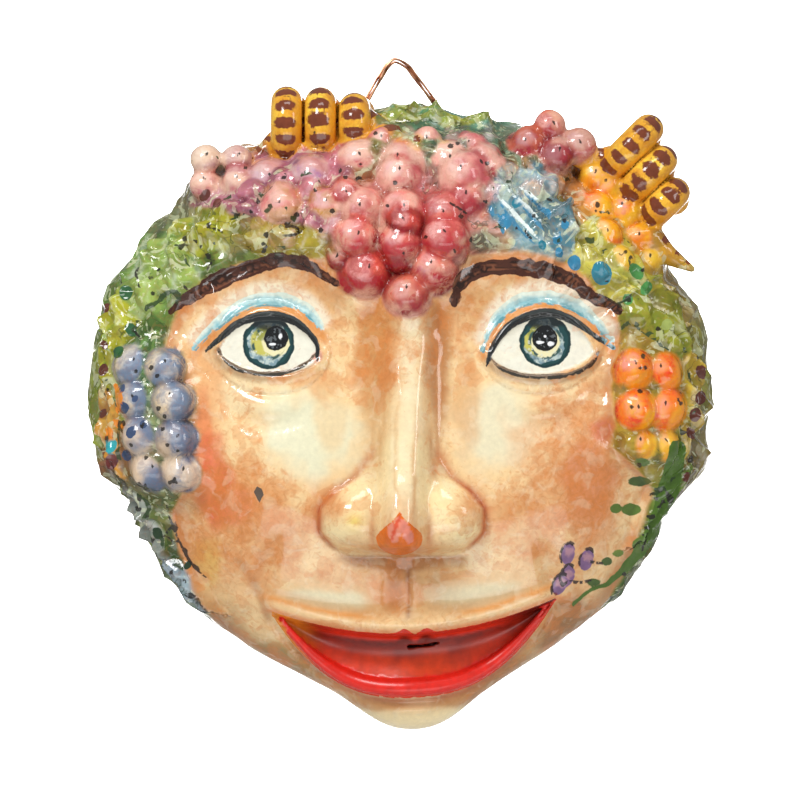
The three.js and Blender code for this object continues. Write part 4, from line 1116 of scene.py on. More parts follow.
for (_, _, _, count, _, _), (code, other, side, begin) in zip(BUNCHES, BUNCH_COLOURS):
    for _ in range(count):
        u, row_v, radius, _ = GRAPES[number]
        depth = GRAPE_DEPTHS[number]
        number += 1
        x, y, z = (U - u) / radius, (V - row_v) / radius, (D - depth) / radius
        reach = np.sqrt(x * x + y * y + z * z)
        cover = ramp(1.34, 1.16, reach + 0.08 * EDGE_NOISE)
        turned = math.radians(side + rng.uniform(-25, 25))
        lean = x * math.cos(turned) + y * math.sin(turned)
        tone = 1 + rng.uniform(-0.12, 0.12)
        # Two colours run together over the grape, with a painted highlight: a pale spot on its upper left
        skin = tone * laid_over(colour(code), colour(other), ramp(begin, begin + 0.35, lean + 0.3 * EDGE_NOISE))
        from_highlight = np.hypot(x + 0.28, y - 0.3) + 0.22 * EDGE_NOISE + 0.12 * FINE_NOISE
        skin = skin + (1 - skin) * (0.28 * ramp(0.66, 0.3, from_highlight))[:, None]
        # Painted shade: darker on the side away from the light, against the next grape and round its foot; and a
        # dark painted crescent near its edge
        shaded_side = 0.8 * ramp(0.35, 0.95, 0.5 * x - 0.75 * y + 0.25 * EDGE_NOISE) + 1.5 * shade_between_grapes
        skin = skin * (1 - (0.62 * np.clip(shaded_side, 0, 1))[:, None] * (1.05 - colour(other)))
        crescent = hump(np.hypot(x, y) - 0.86 - 0.1 * EDGE_NOISE, 0.11) * ramp(-0.1, 0.5, lean + 0.3 * FINE_NOISE)
        skin = skin * (1 - (0.5 * crescent)[:, None] * (1.05 - colour(other)))
        shade = 0.5 * ramp(0.82, 1.12, np.hypot(x, y)) * ramp(0.5, 0, z)
        garland = laid_over(garland, skin * (1 - shade)[:, None], cover)
        # The dabs on it are cream on reds and purples and yellow on the orange ones, which have no blue
        cream = colour("#fbe4c8" if colour(code)[2] > 0.03 else "#fcc43c")
        pale = ramp(-0.3, 0.3, BROAD_NOISE + 0.8 * EDGE_NOISE)
        light_dabs = laid_over(0.95 * colour(other), 0.45 * colour(code) + 0.55 * cream, pale)
        garland_second = laid_over(garland_second, light_dabs, cover)
        smooth_forms = np.maximum(smooth_forms, cover)
        on_garland = np.maximum(on_garland, cover)
        # One dark dot on each grape
        dot_u, dot_v = u + rng.uniform(-0.25, 0.25) * radius, row_v + rng.uniform(0.1, 0.45) * radius
        tilt = rng.uniform(-0.5, 0.5)
        across = (U - dot_u) + tilt * (V - dot_v)
        dot = 1.0 - np.hypot(across / 0.8, (V - dot_v) / 1.5)
        lines = np.maximum(lines, np.where(z > 0.2, dot, OFF_MARK))

# The coiled tendrils: yellow and ochre with painted light and shade, browner below and paler on one side of each
# turn and darker on the other, with dark brown patches along each turn
patches = np.full(len(U), OFF_MARK)
patch_paint = np.tile(colour("#6c3524"), (len(U), 1))


def lay(inside, code):
    """Lays a clear-edged brush mark over the others: inside is mm within its edge."""
    inside = np.where(PAINTED, inside, OFF_MARK)
    take = (inside > KEPT_AROUND) & ((inside > patches) | (inside > 0))
    patch_paint[take] = colour(code)
    patches[take] = inside[take]


def draw(inside, code):
    """Draws a thin line or dot over everything."""
    inside = np.where(PAINTED, inside, OFF_MARK)
    take = inside > np.maximum(lines, KEPT_AROUND)
    line_ink[take] = colour(code)
    lines[take] = inside[take]


def stroke(path, radii, ragged=0.0, steps=6):
    """How far each point lies inside a brush stroke along a path of u and v."""
    curve = spline(path, steps)
    curve = np.column_stack([curve, np.zeros(len(curve))])
    near, distance, _ = tube(U, V, 0 * U, curve, radii, 12)
    return np.where(D > 12, at_points(near, -distance, OFF_MARK) + ragged * FINE_NOISE, OFF_MARK)


def lay_strokes(code, radii, ragged, *paths):
    """Lays strokes of one colour and kind along paths in pixels of the view."""
    for path in paths:
        lay(stroke(from_pixels(*path), radii, ragged), code)


PATCH_PITCH = 5.6
for coil in COILS:
    middle, slant, _, reaches, _ = coil
    path = coil_path(*coil)
    near, distance, along = tube(U, V, D, path, [TENDRIL_RADIUS], 14)
    on_coil = at_points(near, ramp(3.5, 1.5, distance))
    turn = at_points(near, along * COIL_TURNS)
    turned = math.radians(slant)
    last = COIL_POINTS - 1
    index = np.clip((turn / COIL_TURNS * last).astype(int), 0, last)
    offset = (U - path[index, 0]) * math.cos(turned) - (V - path[index, 1]) * math.sin(turned)
    # Painted shade and light on the coil: browner on its lower side, paler on one side of each turn and darker on
    # the other
    low = ramp(2, -14, (U - middle[0]) * math.sin(turned) + (V - middle[1]) * math.cos(turned) + 3 * EDGE_NOISE)
    skin = np.tile(colour("#ffd248"), (len(U), 1))
    washes(
        skin,
        ("#dc8420", 0.55 * low),
        ("#f4cf4c", 0.5 * ramp(0, -5, offset + 2 * EDGE_NOISE)),
        ("#d98a1c", 0.6 * ramp(1, 6, offset + 2 * EDGE_NOISE)),
    )
    garland = laid_over(garland, skin, on_coil)
    garland_second = laid_over(garland_second, colour("#d98a20"), on_coil)
    on_garland = np.maximum(on_garland, on_coil)
    smooth_forms = np.maximum(smooth_forms, on_coil)
    around = (turn % 1) * math.pi * (np.interp(turn, (0, 1, 2), reaches) + COIL_RADIUS)
    beside = (around + 0.7 * BROAD_NOISE + 2) % PATCH_PITCH - PATCH_PITCH / 2
    reach = ((np.abs(beside) / 1.9) ** 2.6 + (np.abs(offset + 0.8) / 5.9) ** 3) ** (1 / 2.8)
    patch = 1.9 * (1 - reach) + 0.3 * FINE_NOISE + 0.3 * EDGE_NOISE
    lay(np.where(on_coil > 0.6, patch, OFF_MARK), "#743a24")

for path, start, end in TAILS:
    curve = spline(on_surface(path), 6)
    near, distance, along = tube(U, V, D, curve, [start, end], 10)
    cover = at_points(near, ramp(3, 1, distance))
    garland = laid_over(garland, colour("#eaa824"), cover)
    on_garland = np.maximum(on_garland, cover)
    band = np.where(distance < 1.5, 2.4 - np.abs((along * 40) % 13 - 6.5), OFF_MARK)
    above = at_points(near, V[near] - np.interp(along, np.linspace(0, 1, len(curve)), curve[:, 1]))
    lay(np.where(above > 0.5, at_points(near, band, OFF_MARK), OFF_MARK), "#7a3f22")


# Brush marks on the garland: a few brown, blue and green ovals, the dark stem low on the right with its
# leaves, and short black strokes and dots all over
OVALS = [
    ("#5f3024", [(701, 372, 7), (700, 398, 7), (694, 415, 7), (690, 433, 6), (686, 477, 5)]),
    ("#3a86ac", [(546, 214, 5), (564, 226, 5), (556, 241, 5), (558, 254, 5), (573, 264, 8), (504, 223, 8)]),
    ("#2f7f94", [(600, 274, 12), (516, 204, 6), (541, 246, 5)]),
    ("#4f8f4c", [(635, 272, 8), (645, 289, 7), (626, 300, 6)]),
    ("#35603c", [(127, 293, 8), (132, 330, 7), (120, 352, 6)]),
    ("#3f5070", [(123, 389, 5), (137, 399, 4), (126, 408, 6), (133, 432, 6), (128, 455, 6), (146, 424, 4)]),
    ("#5f3528", [(106, 308, 5), (105, 345, 5), (104, 370, 6), (104, 413, 5), (110, 437, 5)]),
    ("#39a8b0", [(112, 446, 7)]), ("#6a2f2c", [(112, 462, 8)]), ("#9aa85a", [(665, 325, 6)]),
    ("#6a3a34", [(206, 196, 6), (218, 204, 5)]), ("#2c3f2c", [(158, 533, 6), (188, 565, 4)]),
]
for code, places in OVALS:
    for x, y, radius in places:
        (u, v), = from_pixels((x, y))
        lean = rng.uniform(-0.4, 0.4)
        reach = np.hypot((U - u) / 0.85 + lean * (V - v), V - v)
        lay(np.where(D > 8, PIXEL * radius - reach + 0.5 * FINE_NOISE, OFF_MARK), code)

lay_strokes("#4c6c26", [5, 6, 5, 3, 1.5, 1, 1.2], 0.7,
            [(676, 449), (668, 490), (655, 527), (636, 556), (610, 582), (590, 590), (573, 604)])
STEM_LEAVES = [
    (639, 481, 11, 5), (631, 509, 10, 6), (615, 508, 6, 5), (640, 545, 8, 8), (618, 553, 6, 4), (606, 561, 6, 4),
    (594, 582, 7, 4), (640, 462, 8, 4),
]
for x, y, half, height in STEM_LEAVES:
    (u, v), = from_pixels((x, y))
    inside = PIXEL * height * (1 - np.hypot((U - u) / (PIXEL * half), (V - v) / (PIXEL * height)))
    lay(inside + 0.4 * FINE_NOISE, rng.choice(["#5a7434", "#6c8438", "#4a6030"]))

# Orange stripes on the left, and blue and white hatching beside the middle bunch
lay_strokes("#ea8c2c", [1, 2.2, 1], 0.4,
            [(117, 385), (121, 398), (119, 412)], [(108, 428), (112, 437)], [(116, 420), (124, 428)])
lay_strokes("#4a86a6", [0.5, 1.3, 0.4], 0.7,
            [(500, 206), (514, 226), (533, 246)], [(512, 198), (530, 218), (552, 240)], [(497, 216), (503, 236)],
            [(524, 196), (540, 210), (560, 236)], [(489, 206), (494, 226)])
lay_strokes("#e6f2ee", [0.5, 1.2, 0.3], 0.6,
            [(497, 198), (518, 220), (544, 248)], [(508, 192), (530, 213), (556, 238)], [(518, 188), (540, 204)])

# Short strokes and dots strewn over the garland by hand, dots only on the smooth grapes and coils
INK = "#26231f"
MARK_COUNT = 120
for _ in range(MARK_COUNT):
    angle = math.radians(rng.uniform(-42, 222))
    edge = float(garland_edge(math.degrees(angle)))
    reach = edge + (float(outline(math.degrees(angle))) - edge) * rng.uniform(0.06, 0.93)
    u, v = reach * math.cos(angle), reach * math.sin(angle)
    heading = rng.uniform(0, math.pi)
    length = rng.choice([0.6, 1.2, 3.5, 5.5], p=[0.4, 0.3, 0.2, 0.1])
    bend = rng.uniform(-1.2, 1.2)
    if smooth_forms[np.argmin(np.hypot(U - u, V - v) + 99 * (D < 20))] > 0.3:
        length = 0.6
    ends = [(u - length * math.cos(heading), v - length * math.sin(heading)),
            (u + bend * math.sin(heading), v - bend * math.cos(heading)),
            (u + length * math.cos(heading), v + length * math.sin(heading))]
    width = rng.uniform(0.8, 1.3) if length < 2 else 0.78
    draw(stroke(ends, [0.8 * width, width, 0.6 * width], 0.15, 3), INK)
draw(np.where(on_garland > 0.8, leaf_lines, OFF_MARK), "#33482a")
draw(stroke(from_pixels((168, 505), (172, 522), (184, 550), (194, 566), (206, 577)), [0.5, 0.8, 0.5], 0.3), INK)
for x, y in ((176, 527), (184, 549), (195, 566)):
    draw(stroke(from_pixels((x, y), (x + 3, y + 2)), [1.2, 1.0], 0.2), INK)

# The sprig on the right cheek
for x, y, tilt in ((567, 553, 0.25), (586, 559, 0.35), (567, 575, 0.3), (559, 584, 0.5)):
    (u, v), = from_pixels((x, y))
    reach = np.hypot((U - u) * 1.2 - tilt * (V - v) * 0.6, (V - v) * 0.8)
    lay(4.7 - reach + 0.3 * FINE_NOISE, "#7f5f86")
    lay(2.6 - np.hypot(U - u - 0.8, V - v - 1) + 0.5 * FINE_NOISE, "#b08494")
    ring = 0.85 - np.abs(reach - 4.9)
    draw(np.where(U - u - 0.8 * (V - v) < 0.5, ring, OFF_MARK), "#2c2428")
for path in ([(588, 561), (594, 562), (602, 563)], [(571, 581), (580, 582), (590, 580)], [(562, 585), (567, 581)]):
    draw(stroke(from_pixels(*path), [1.0, 0.9, 0.8]), "#2e2a2c")

# Painted face: orange over the brows, brows, aqua arches on the lids, lids, lips, the tip of the nose
LEFT_BROW = from_pixels(
    (172, 312), (185, 302), (202, 291), (226, 278), (250, 270), (280, 262), (305, 264), (336, 285))
RIGHT_BROW = from_pixels(
    (453, 305), (460, 285), (478, 271), (510, 268), (541, 271), (568, 280), (592, 297), (618, 312))
for brow, side in ((LEFT_BROW, 1), (RIGHT_BROW, -1)):
    wash(ground, "#dd7c38", 0.6 * ramp(-5.5, -1, stroke(brow + [side * -1, 3], [3, 3, 2, 1, 1, 0, 0][::side])))
    wash(ground, "#c98450", 0.5 * ramp(-9, 0, stroke(brow - [0, 2], [3, 3])))
    lay(stroke(brow, [1.7, 3.3, 4.3, 4.7, 4.7, 4.4, 3.3, 1.4], 1.3), "#4a2a20")
    for _ in range(9):
        shift = rng.uniform(-3, 3)
        draw(stroke(brow + [rng.uniform(-3, 3), shift], [0.1, 0.45, 0.5, 0.45, 0.1], 0.8),
             rng.choice(["#2c1a14", "#2c1a14", "#6e4232", "#7a4a34"]))

LEFT_ARCH = from_pixels((196, 346), (212, 330), (235, 312), (262, 301), (290, 303), (310, 313), (324, 330))
RIGHT_ARCH = from_pixels((482, 348), (492, 326), (510, 307), (535, 299), (562, 302), (588, 316), (611, 341))
for arch in (LEFT_ARCH, RIGHT_ARCH):
    # A pale cream band above each arch: a painted highlight on the lid
    wash(ground, "#f6efd8", 0.8 * ramp(-6, 0, stroke(arch + [0, 5], [1, 2, 1.5, 1])))
    wash(ground, "#d98638", 0.75 * ramp(-4, 0, stroke(arch - [0, 4.6], [0.5, 1, 1, 0.5])))
    lay(stroke(arch + [0, 0.8], [0.9, 2.4, 3.3, 3.4, 3.0, 1.2], 0.7), "#dbe6d8")
    lay(stroke(arch - [0, 0.4], [0.7, 1.7, 2.2, 2.2, 1.8, 0.8], 0.9), "#b2d2d2")
    lay(stroke(arch - [1, 1.8], [0.5, 0.9, 1.0, 0.7, 0.2], 0.9), "#86b8c0")
    draw(stroke(arch - [0, 3.0], [0.3, 0.55, 0.3, 0.1], 0.7), "#5b97a2")

LEFT_UPPER = from_pixels(
    (207, 351), (222, 338), (240, 324), (258, 318), (280, 317), (300, 325), (317, 343), (318, 360))
LEFT_LOWER = from_pixels((219, 349), (226, 360), (240, 369), (262, 374), (288, 372), (306, 364), (315, 355))
RIGHT_UPPER = from_pixels(
    (486, 365), (493, 346), (508, 327), (530, 316), (553, 314), (575, 323), (595, 337), (612, 347))
RIGHT_LOWER = from_pixels((489, 358), (498, 367), (516, 374), (544, 377), (572, 373), (590, 364), (597, 352))
for upper_lid, lower_lid in ((LEFT_UPPER, LEFT_LOWER), (RIGHT_UPPER, RIGHT_LOWER)):
    # A soft brown wash under each lower lid: painted shade
    wash(ground, "#8a6248", 0.6 * ramp(-3.5, 0, stroke(lower_lid - [0, 1.5], [1, 1])))
    lay(stroke(upper_lid, [0.7, 1.8, 2.3, 2.6, 2.3, 1.4, 0.8], 0.3), "#3b4040")
    draw(stroke(upper_lid - [0, 0.8], [0.5, 1.0, 1.3, 1.3, 1.0, 0.6], 0.3), "#26292a")
    lay(stroke(lower_lid, [0.6, 1.1, 1.3, 1.1, 0.7], 0.5), "#7a6654")
    draw(stroke(lower_lid - [0, 0.7], [0.3, 0.7, 0.9, 0.6], 0.5), "#34342f")
lay(stroke(from_pixels((602, 341), (612, 348)), [1.4, 1.2], 0.2), "#6f9aa8")
wash(ground, "#e2a08c", 0.9 * soft_oval(-43, 33, 2.6, 3.6, 0.1))

# The whites of the eyes, grey under the upper lid as painted shade, and pink in the left eye's inner corner
eye_opening = np.full(len(U), OFF_MARK)
for side in (-1, 1):
    _, t, up = eye_place(U, V, side)
    upper_edge, lower_edge = almond(t)
    inside = np.where((np.abs(t) < 1.02) & (D > 30), np.minimum(upper_edge - up, up - lower_edge), OFF_MARK)
    eye_opening = np.maximum(eye_opening, inside)
white = ramp(-0.6, 0.6, eye_opening)
washes(
    ground,
    ("#ebe8d6", white),
    # Grey under the upper lid: painted shade
    ("#b9b3a0", 0.5 * white * ramp(7, 2, eye_opening) * ramp(40, 46, V)),
    ("#e2a08c", 0.9 * white * soft_oval(-43.5, 32, 3, 3, 0.1)),
)
dabs = dabs * (1 - white)

# The orange drop on the tip of the nose, pointed above and round below, with two pink dabs and a red one
TIP_V = -66
TIP_HALF = 12.5
tip_half = TIP_HALF * np.where(
    V > TIP_V, ramp(-51, -66, V) ** 0.9, np.sqrt(np.clip(1 - ((V - TIP_V) / 9.5) ** 2, 0, 1)))
on_tip = np.where((V < -51) & (V > -76) & (D > 60), tip_half - np.abs(U - TIP_U), OFF_MARK)
lay(on_tip + 0.4 * FINE_NOISE, "#de6c1a")
lay(np.minimum(on_tip - 1, 3 - np.hypot((U + 1.5) * 0.9, (V + 60) * 0.35)), "#e28a70")
lay(np.minimum(on_tip - 1, 2.6 - np.hypot((U - 5) * 0.9 + 0.3 * (V + 62), (V + 62) * 0.4)), "#dd8470")
lay(stroke(from_pixels((401, 512), (396, 524), (392, 538)), [0.6, 1.3, 0.6], 0.2), "#d5583c")

# Inside the mouth dark red to orange, darkest towards the top, under the upper lip, as painted shade; a thin red
# upper lip with its bow; a bright red roll for the lower lip with a brown painted shadow under it
bow = 2.6 * hump(np.abs(U - 10) - 6, 3.5) - 0.8 * hump(U - 10, 2)
open_share = np.clip((V - lower) / np.maximum(upper - lower, 0.1), 0, 1)
in_opening = (off_middle < 1.02) & (D > 14)
mouth_inside = np.where(in_opening, np.minimum(upper + 0.6 + bow - V, V - lower + 2), OFF_MARK)
lay(mouth_inside, "#b8240f")
inside_paint = mouth_inside > KEPT_AROUND
wavering_share = open_share + 0.08 * EDGE_NOISE
# Darker towards the top of the opening, under the upper lip: painted shade
interior = laid_over(colour("#d63008"), colour("#6c1406"), ramp(0.25, 0.95, wavering_share))
upper_band = 0.9 * ramp(-5, -2.5, V - upper - bow + 0.6 * EDGE_NOISE) * ramp(0.85, 0.5, off_middle)
washes(
    interior,
    ("#d24410", 0.6 * (hump((U - 12) / 34, 1) * ramp(0.85, 0.45, wavering_share))),
    ("#e88a28", ramp(-38, -62, U + 3 * EDGE_NOISE)),
    ("#dc3018", upper_band),
)
patch_paint[inside_paint] = interior[inside_paint]
mouth_matt = ramp(-1, 1.5, mouth_inside) * (D > 14)
near, distance, _ = tube(U, V, D, lip_path(), LIP_RADII, 6)
lay(at_points(near, 1.3 - distance, OFF_MARK) + 0.2 * FINE_NOISE, "#e0261a")
# Brown under the lip's roll: a painted shadow
wash(ground, "#b05a34", 0.7 * hump(V - lower + 3.2, 2) * ramp(0.95, 0.8, off_middle))
# The walls of the slit painted near black: painted shade in the opening
by_slit = (np.abs(U - SLIT_U) < 9) & (np.abs(V - upper + SLIT_BELOW_LIP) < 9) & (D < 60)
draw(np.where(by_slit, 0.2 - slit(U, V, D), OFF_MARK), "#140a08")

# A small dark chip in the left cheek
chip_u, chip_v = U + 75.2, V + 41.9
chip = 3.5 - np.abs(chip_u) * 1.2 - np.abs(chip_v + 0.3 * chip_u) * 0.62 + 0.4 * FINE_NOISE
draw(np.where(D > 30, chip, OFF_MARK), "#4b4b48")

# Painted shade in the soft crease beside the smile, and painted shade along the jaw
smile_crease_shade = stroke(from_pixels((240, 560), (252, 577), (262, 600), (268, 617)), [0.6, 0.8, 0.5])
wash(ground, "#b07a4e", 0.6 * ramp(-3, 0, smile_crease_shade))
wash(ground, "#9c7040", 0.6 * ramp(0.9, 0.985, RADIUS / outline_at(U, V)) * ramp(26, 60, np.abs(U - 7)))

# Glaze on the folds of the leaves, with painted light and shade: dark low in the folds, as pooled glaze and painted
# shade, pale high on the crests, as thin glaze and painted highlights
rough_garland = on_garland * (1 - smooth_forms)
height = uneven(U, V, D)
pooled_glaze_and_shade = ramp(-0.2, -1.7, height) * rough_garland
thin = ramp(0.9, 2.9, height) * rough_garland
garland = garland * (1 - 0.72 * pooled_glaze_and_shade)[:, None]
garland = garland + (1 - garland) * (0.4 * thin)[:, None]
ground = laid_over(ground, garland, on_garland)
second = laid_over(second, garland_second, on_garland)
dabs = dabs * (1 - on_garland) + on_garland * (0.5 - 0.08 * smooth_forms)


def keep(mesh, name, colours, alpha):
    """Stores a layer in the points of the mesh: three numbers from 0 to 1, or one for all three, and alpha."""
    layer = mesh.attributes.new(name, "FLOAT_COLOR", "POINT")
    colours = np.broadcast_to(np.clip(colours, 0, 1).T, (3, len(alpha))).T
    layer.data.foreach_set("color", np.column_stack([colours, alpha]).astype(np.float32).ravel())


keep(mask.data, "ground", ground, BARE.astype(float))
keep(mask.data, "second", second, dabs)
keep(mask.data, "marks", patch_paint, patches)
keep(mask.data, "lines", line_ink, lines)
keep(mask.data, "smooth", mouth_matt, smooth_forms)
keep(mask.data, "places", rough_garland, eye_opening)

# Clear gloss glaze: small, sharp, glassy lights that break up over every dent, on paint with soft, uneven
# brush edges, dabs and scratches. It is duller in the mouth, and the bare clay at the back has no shine.
glaze, tree, surface = new_material("clear gloss glaze over brushed oxide colours")
METRE = 1000


def maths(operation, a, b=0.0, c=0.0):
    """A sum worked out in the shader."""
    return add_node(tree, "ShaderNodeMath", {0: a, 1: b, 2: c}, operation=operation).outputs[0]


def times(a, b):
    """One value times another."""
    return maths("MULTIPLY", a, b)


def scaled(shade, factor):
    """A colour made darker or lighter by a factor."""
    return add_node(tree, "ShaderNodeVectorMath", {0: shade, "Scale": factor}, operation="SCALE").outputs[0]


def blend(below, above, share):
    """One colour over another as far as the share says."""
    node = add_node(tree, "ShaderNodeMix", {"Factor": share}, data_type="RGBA")
    for value, socket in ((below, node.inputs[6]), (above, node.inputs[7])):
        if isinstance(value, bpy.types.NodeSocket):
            tree.links.new(value, socket)
        else:
            socket.default_value = linear(value)
    return node.outputs[2]


def layered(shade, *layers):
    """Several colours blended over the first, one after the other, each given with its share."""
    for above, share in layers:
        shade = blend(shade, above, share)
    return shade


def edge(value, start, end):
    """0 at the start and 1 at the end, with soft ends."""
    node = add_node(tree, "ShaderNodeMapRange", {0: value, 1: start, 2: end}, interpolation_type="SMOOTHSTEP")
    return node.outputs[0]


def noise(size, detail=2.0, swirl=0.0):
    """Noise from 0 to 1 with blobs of a size in mm, curled by the swirl."""
    links = {"Vector": place.outputs["Object"], "Scale": METRE / size, "Detail": detail, "Distortion": swirl}
    return add_node(tree, "ShaderNodeTexNoise", links).outputs[0]


place = add_node(tree, "ShaderNodeTexCoord")
layers = {name: add_node(tree, "ShaderNodeAttribute", attribute_name=name)
          for name in ("ground", "second", "marks", "lines", "places", "smooth")}
in_garland = layers["places"].outputs["Fac"]
face_free = maths("MAXIMUM", in_garland, layers["smooth"].outputs["Alpha"])
second_colour = layers["second"].outputs["Color"]
second_share = layers["second"].outputs["Alpha"]

# Brush work in the second colour: clouds of three sizes
threshold = maths("MULTIPLY_ADD", second_share, -0.42, 0.7)
paint = layers["ground"].outputs["Color"]
for size, swirl, strength in ((26, 0.6, 0.36), (12, 1.6, 0.34), (5, 2.4, 0.3)):
    cloud = maths("SUBTRACT", noise(size, 5.0, swirl), threshold)
    paint = blend(paint, second_colour, times(edge(cloud, -0.07, 0.08), strength))

# On the leaves, deep swathes of run glaze and pale places rubbed with a dry brush
swathe = times(edge(noise(20, 2.0, 1.0), 0.47, 0.57), times(in_garland, 0.74))
rubbed = times(edge(noise(12, 2.0, 2.2), 0.57, 0.61), times(in_garland, 0.5))
paint = layered(paint, (scaled(second_colour, 0.42), swathe), ("#e8eec4", rubbed))

# Round dabs in two sizes, in mm, each size shifted against the other
for size, strength, shift in ((15, 0.32, 0.0), (9.5, 0.3, 3.7)):
    nudge = add_node(tree, "ShaderNodeTexNoise", {"Vector": place.outputs["Object"], "Scale": METRE / (0.7 * size)})
    bent = add_node(tree, "ShaderNodeVectorMath", {0: nudge.outputs["Color"], 1: (0.9, 0.9, 0.9), 2: (shift, 0, 0)},
                    operation="MULTIPLY_ADD")
    spot = add_node(tree, "ShaderNodeVectorMath", {0: place.outputs["Object"], 1: (METRE / size,) * 3,
                                                   2: bent.outputs[0]}, operation="MULTIPLY_ADD")
    cells = add_node(tree, "ShaderNodeTexVoronoi", {"Vector": spot.outputs[0], "Scale": 1.0})
    chosen = add_node(tree, "ShaderNodeSeparateColor", {0: cells.outputs["Color"]})
    wanted = edge(maths("SUBTRACT", second_share, chosen.outputs[0]), 0.0, 0.03)
    share = times(times(edge(cells.outputs["Distance"], 0.62, 0.5), wanted), strength)
    paint = blend(paint, second_colour, share)

# Pale places lifted off the face, brown grain all over, dark curls on the leaves, and uneven thickness
lifted = times(edge(noise(10, 5.0, 0.8), 0.52, 0.64), maths("SUBTRACT", 0.2, face_free))
grain = times(edge(noise(5, 6.0, 1.6), 0.5, 0.58), 0.3)
curl = maths("ABSOLUTE", maths("SUBTRACT", noise(10, 1.5), 0.5))
curl = times(edge(curl, 0.014, 0.004), edge(noise(19), 0.5, 0.56))
paint = layered(
    paint,
    ("#f6e9c8", maths("MAXIMUM", lifted, 0.0)),
    ("#a8683c", times(grain, second_share)),
    ("#2f3c24", times(curl, times(in_garland, 0.6))),
)
paint = scaled(paint, maths("MULTIPLY_ADD", noise(2.6, 3.0), 0.26, 0.87))

# The eyes, drawn on the glaze in mm about each pupil: a dark teal ring, grey-blue and yellow inside it, a black
# pupil, painted shade under the upper lid, and white glints that are painted highlights
split = add_node(tree, "ShaderNodeSeparateXYZ", {0: place.outputs["Object"]})
wobble = maths("MULTIPLY_ADD", noise(5), 2.4, -1.2)


def from_point(u, v, width=1.0, height=1.0):
    """Distance in mm from a place on the face, as an oval's radius."""
    across = maths("MULTIPLY_ADD", split.outputs[0], METRE / width, -u / width)
    up = maths("MULTIPLY_ADD", split.outputs[2], METRE / height, -(FACE_Z + v) / height)
    return maths("SQRT", maths("MULTIPLY_ADD", up, up, times(across, across)))


def drawn(distance, radius, soft=0.25):
    """1 within the radius, with a hand-drawn edge."""
    return edge(maths("ADD", distance, wobble), radius + soft, radius - soft)


# Each eye: iris, pupil and its radius, yellow patch, and painted highlights (glints) as places and half sizes
IRIS_RADIUS = 14.2
IRISES = [
    ((-70, 40), (-66, 42.6), 6.6, (-71.5, 41), [(-63.6, 43.5, 0.9, 1.7), (-68, 39.5, 1.8, 0.6)]),
    ((81, 40.8), (80.5, 42.6), 7.0, (77, 41.5),
     [(78.5, 40.5, 2.2, 1.0), (83.5, 39.8, 1.7, 1.1), (80.8, 43.5, 0.9, 0.8)]),
]
open_eye = edge(layers["places"].outputs["Alpha"], -0.1, 0.5)
for iris, pupil, pupil_radius, yellow, painted_glints in IRISES:
    reach = from_point(*iris)
    loose_ring = maths("MULTIPLY_ADD", noise(8), 9.0, maths("SUBTRACT", reach, 4.5))
    second_ring = times(edge(reach, 7.4, 8.2), edge(reach, 9.8, 9.0))
    # Painted shade at the top of the iris, under the upper lid
    lid_shadow = drawn(from_point(iris[0], iris[1] + 15, 1.6, 1.0), 8.5, 1.5)
    scribble = times(drawn(from_point(*pupil), pupil_radius - 1), edge(noise(2.4, 2.0), 0.54, 0.6))
    inner = layered(
        blend("#7f9aa4", "#b9c9c4", edge(noise(3.2, 3.0), 0.42, 0.6)),
        ("#3f5f6a", times(edge(noise(4.1, 3.0), 0.5, 0.62), 0.7)),
        ("#c7c05a", times(drawn(from_point(*yellow), 8.2, 0.9), 0.95)),
        ("#e9e2b4", drawn(from_point(pupil[0] + 0.3, pupil[1] - 2.2), pupil_radius + 1.2, 0.6)),
        ("#6d7a3c", times(drawn(from_point(yellow[0] - 2, yellow[1] + 5), 4.2, 0.8), 0.6)),
        ("#3c5854", times(second_ring, edge(noise(5.2), 0.46, 0.56))),
        ("#d8dcc8", times(edge(noise(2.1, 2.0), 0.6, 0.66), 0.7)),
        ("#24484a", edge(loose_ring, 10.8, 11.6)),
        ("#1d3a3c", edge(maths("ADD", reach, wobble), 12.4, 13.0)),
        ("#23282a", times(lid_shadow, 0.9)),
        ("#191b1d", drawn(from_point(*pupil), pupil_radius)),
        ("#6a7074", times(scribble, 0.7)),
        # White glints: painted highlights
        *[("#eceef0", drawn(from_point(*painted_glint), 1.0, 0.2)) for painted_glint in painted_glints],
    )
    paint = blend(paint, inner, times(drawn(reach, IRIS_RADIUS), open_eye))

# Clear-edged marks, then the dark lines
rough_edge = maths("MULTIPLY_ADD", noise(2.2), 0.9, -0.45)
marks = scaled(layers["marks"].outputs["Color"], maths("MULTIPLY_ADD", noise(4.5, 4.0), 0.7, 0.66))
fine_edge = maths("MULTIPLY_ADD", noise(1.4), 0.6, -0.3)
lines_share = edge(maths("ADD", layers["lines"].outputs["Alpha"], fine_edge), -0.2, 0.2)
paint = layered(
    paint,
    (marks, edge(maths("ADD", layers["marks"].outputs["Alpha"], rough_edge), -0.25, 0.25)),
    (layers["lines"].outputs["Color"], times(lines_share, 0.92)),
)

# Inside, the wall is bare, pale red clay
bare = layers["ground"].outputs["Alpha"]
biscuit = blend("#cd9674", "#d6a582", edge(noise(9, 4.0), 0.3, 0.7))
tree.links.new(blend(paint, biscuit, bare), surface.inputs["Base Color"])
# The glaze in the mouth is duller, and the bare clay dull all through
matt = maths("MULTIPLY_ADD", layers["smooth"].outputs["Fac"], 0.22, 0.1)
tree.links.new(maths("MULTIPLY_ADD", bare, 0.62, matt), surface.inputs["Roughness"])
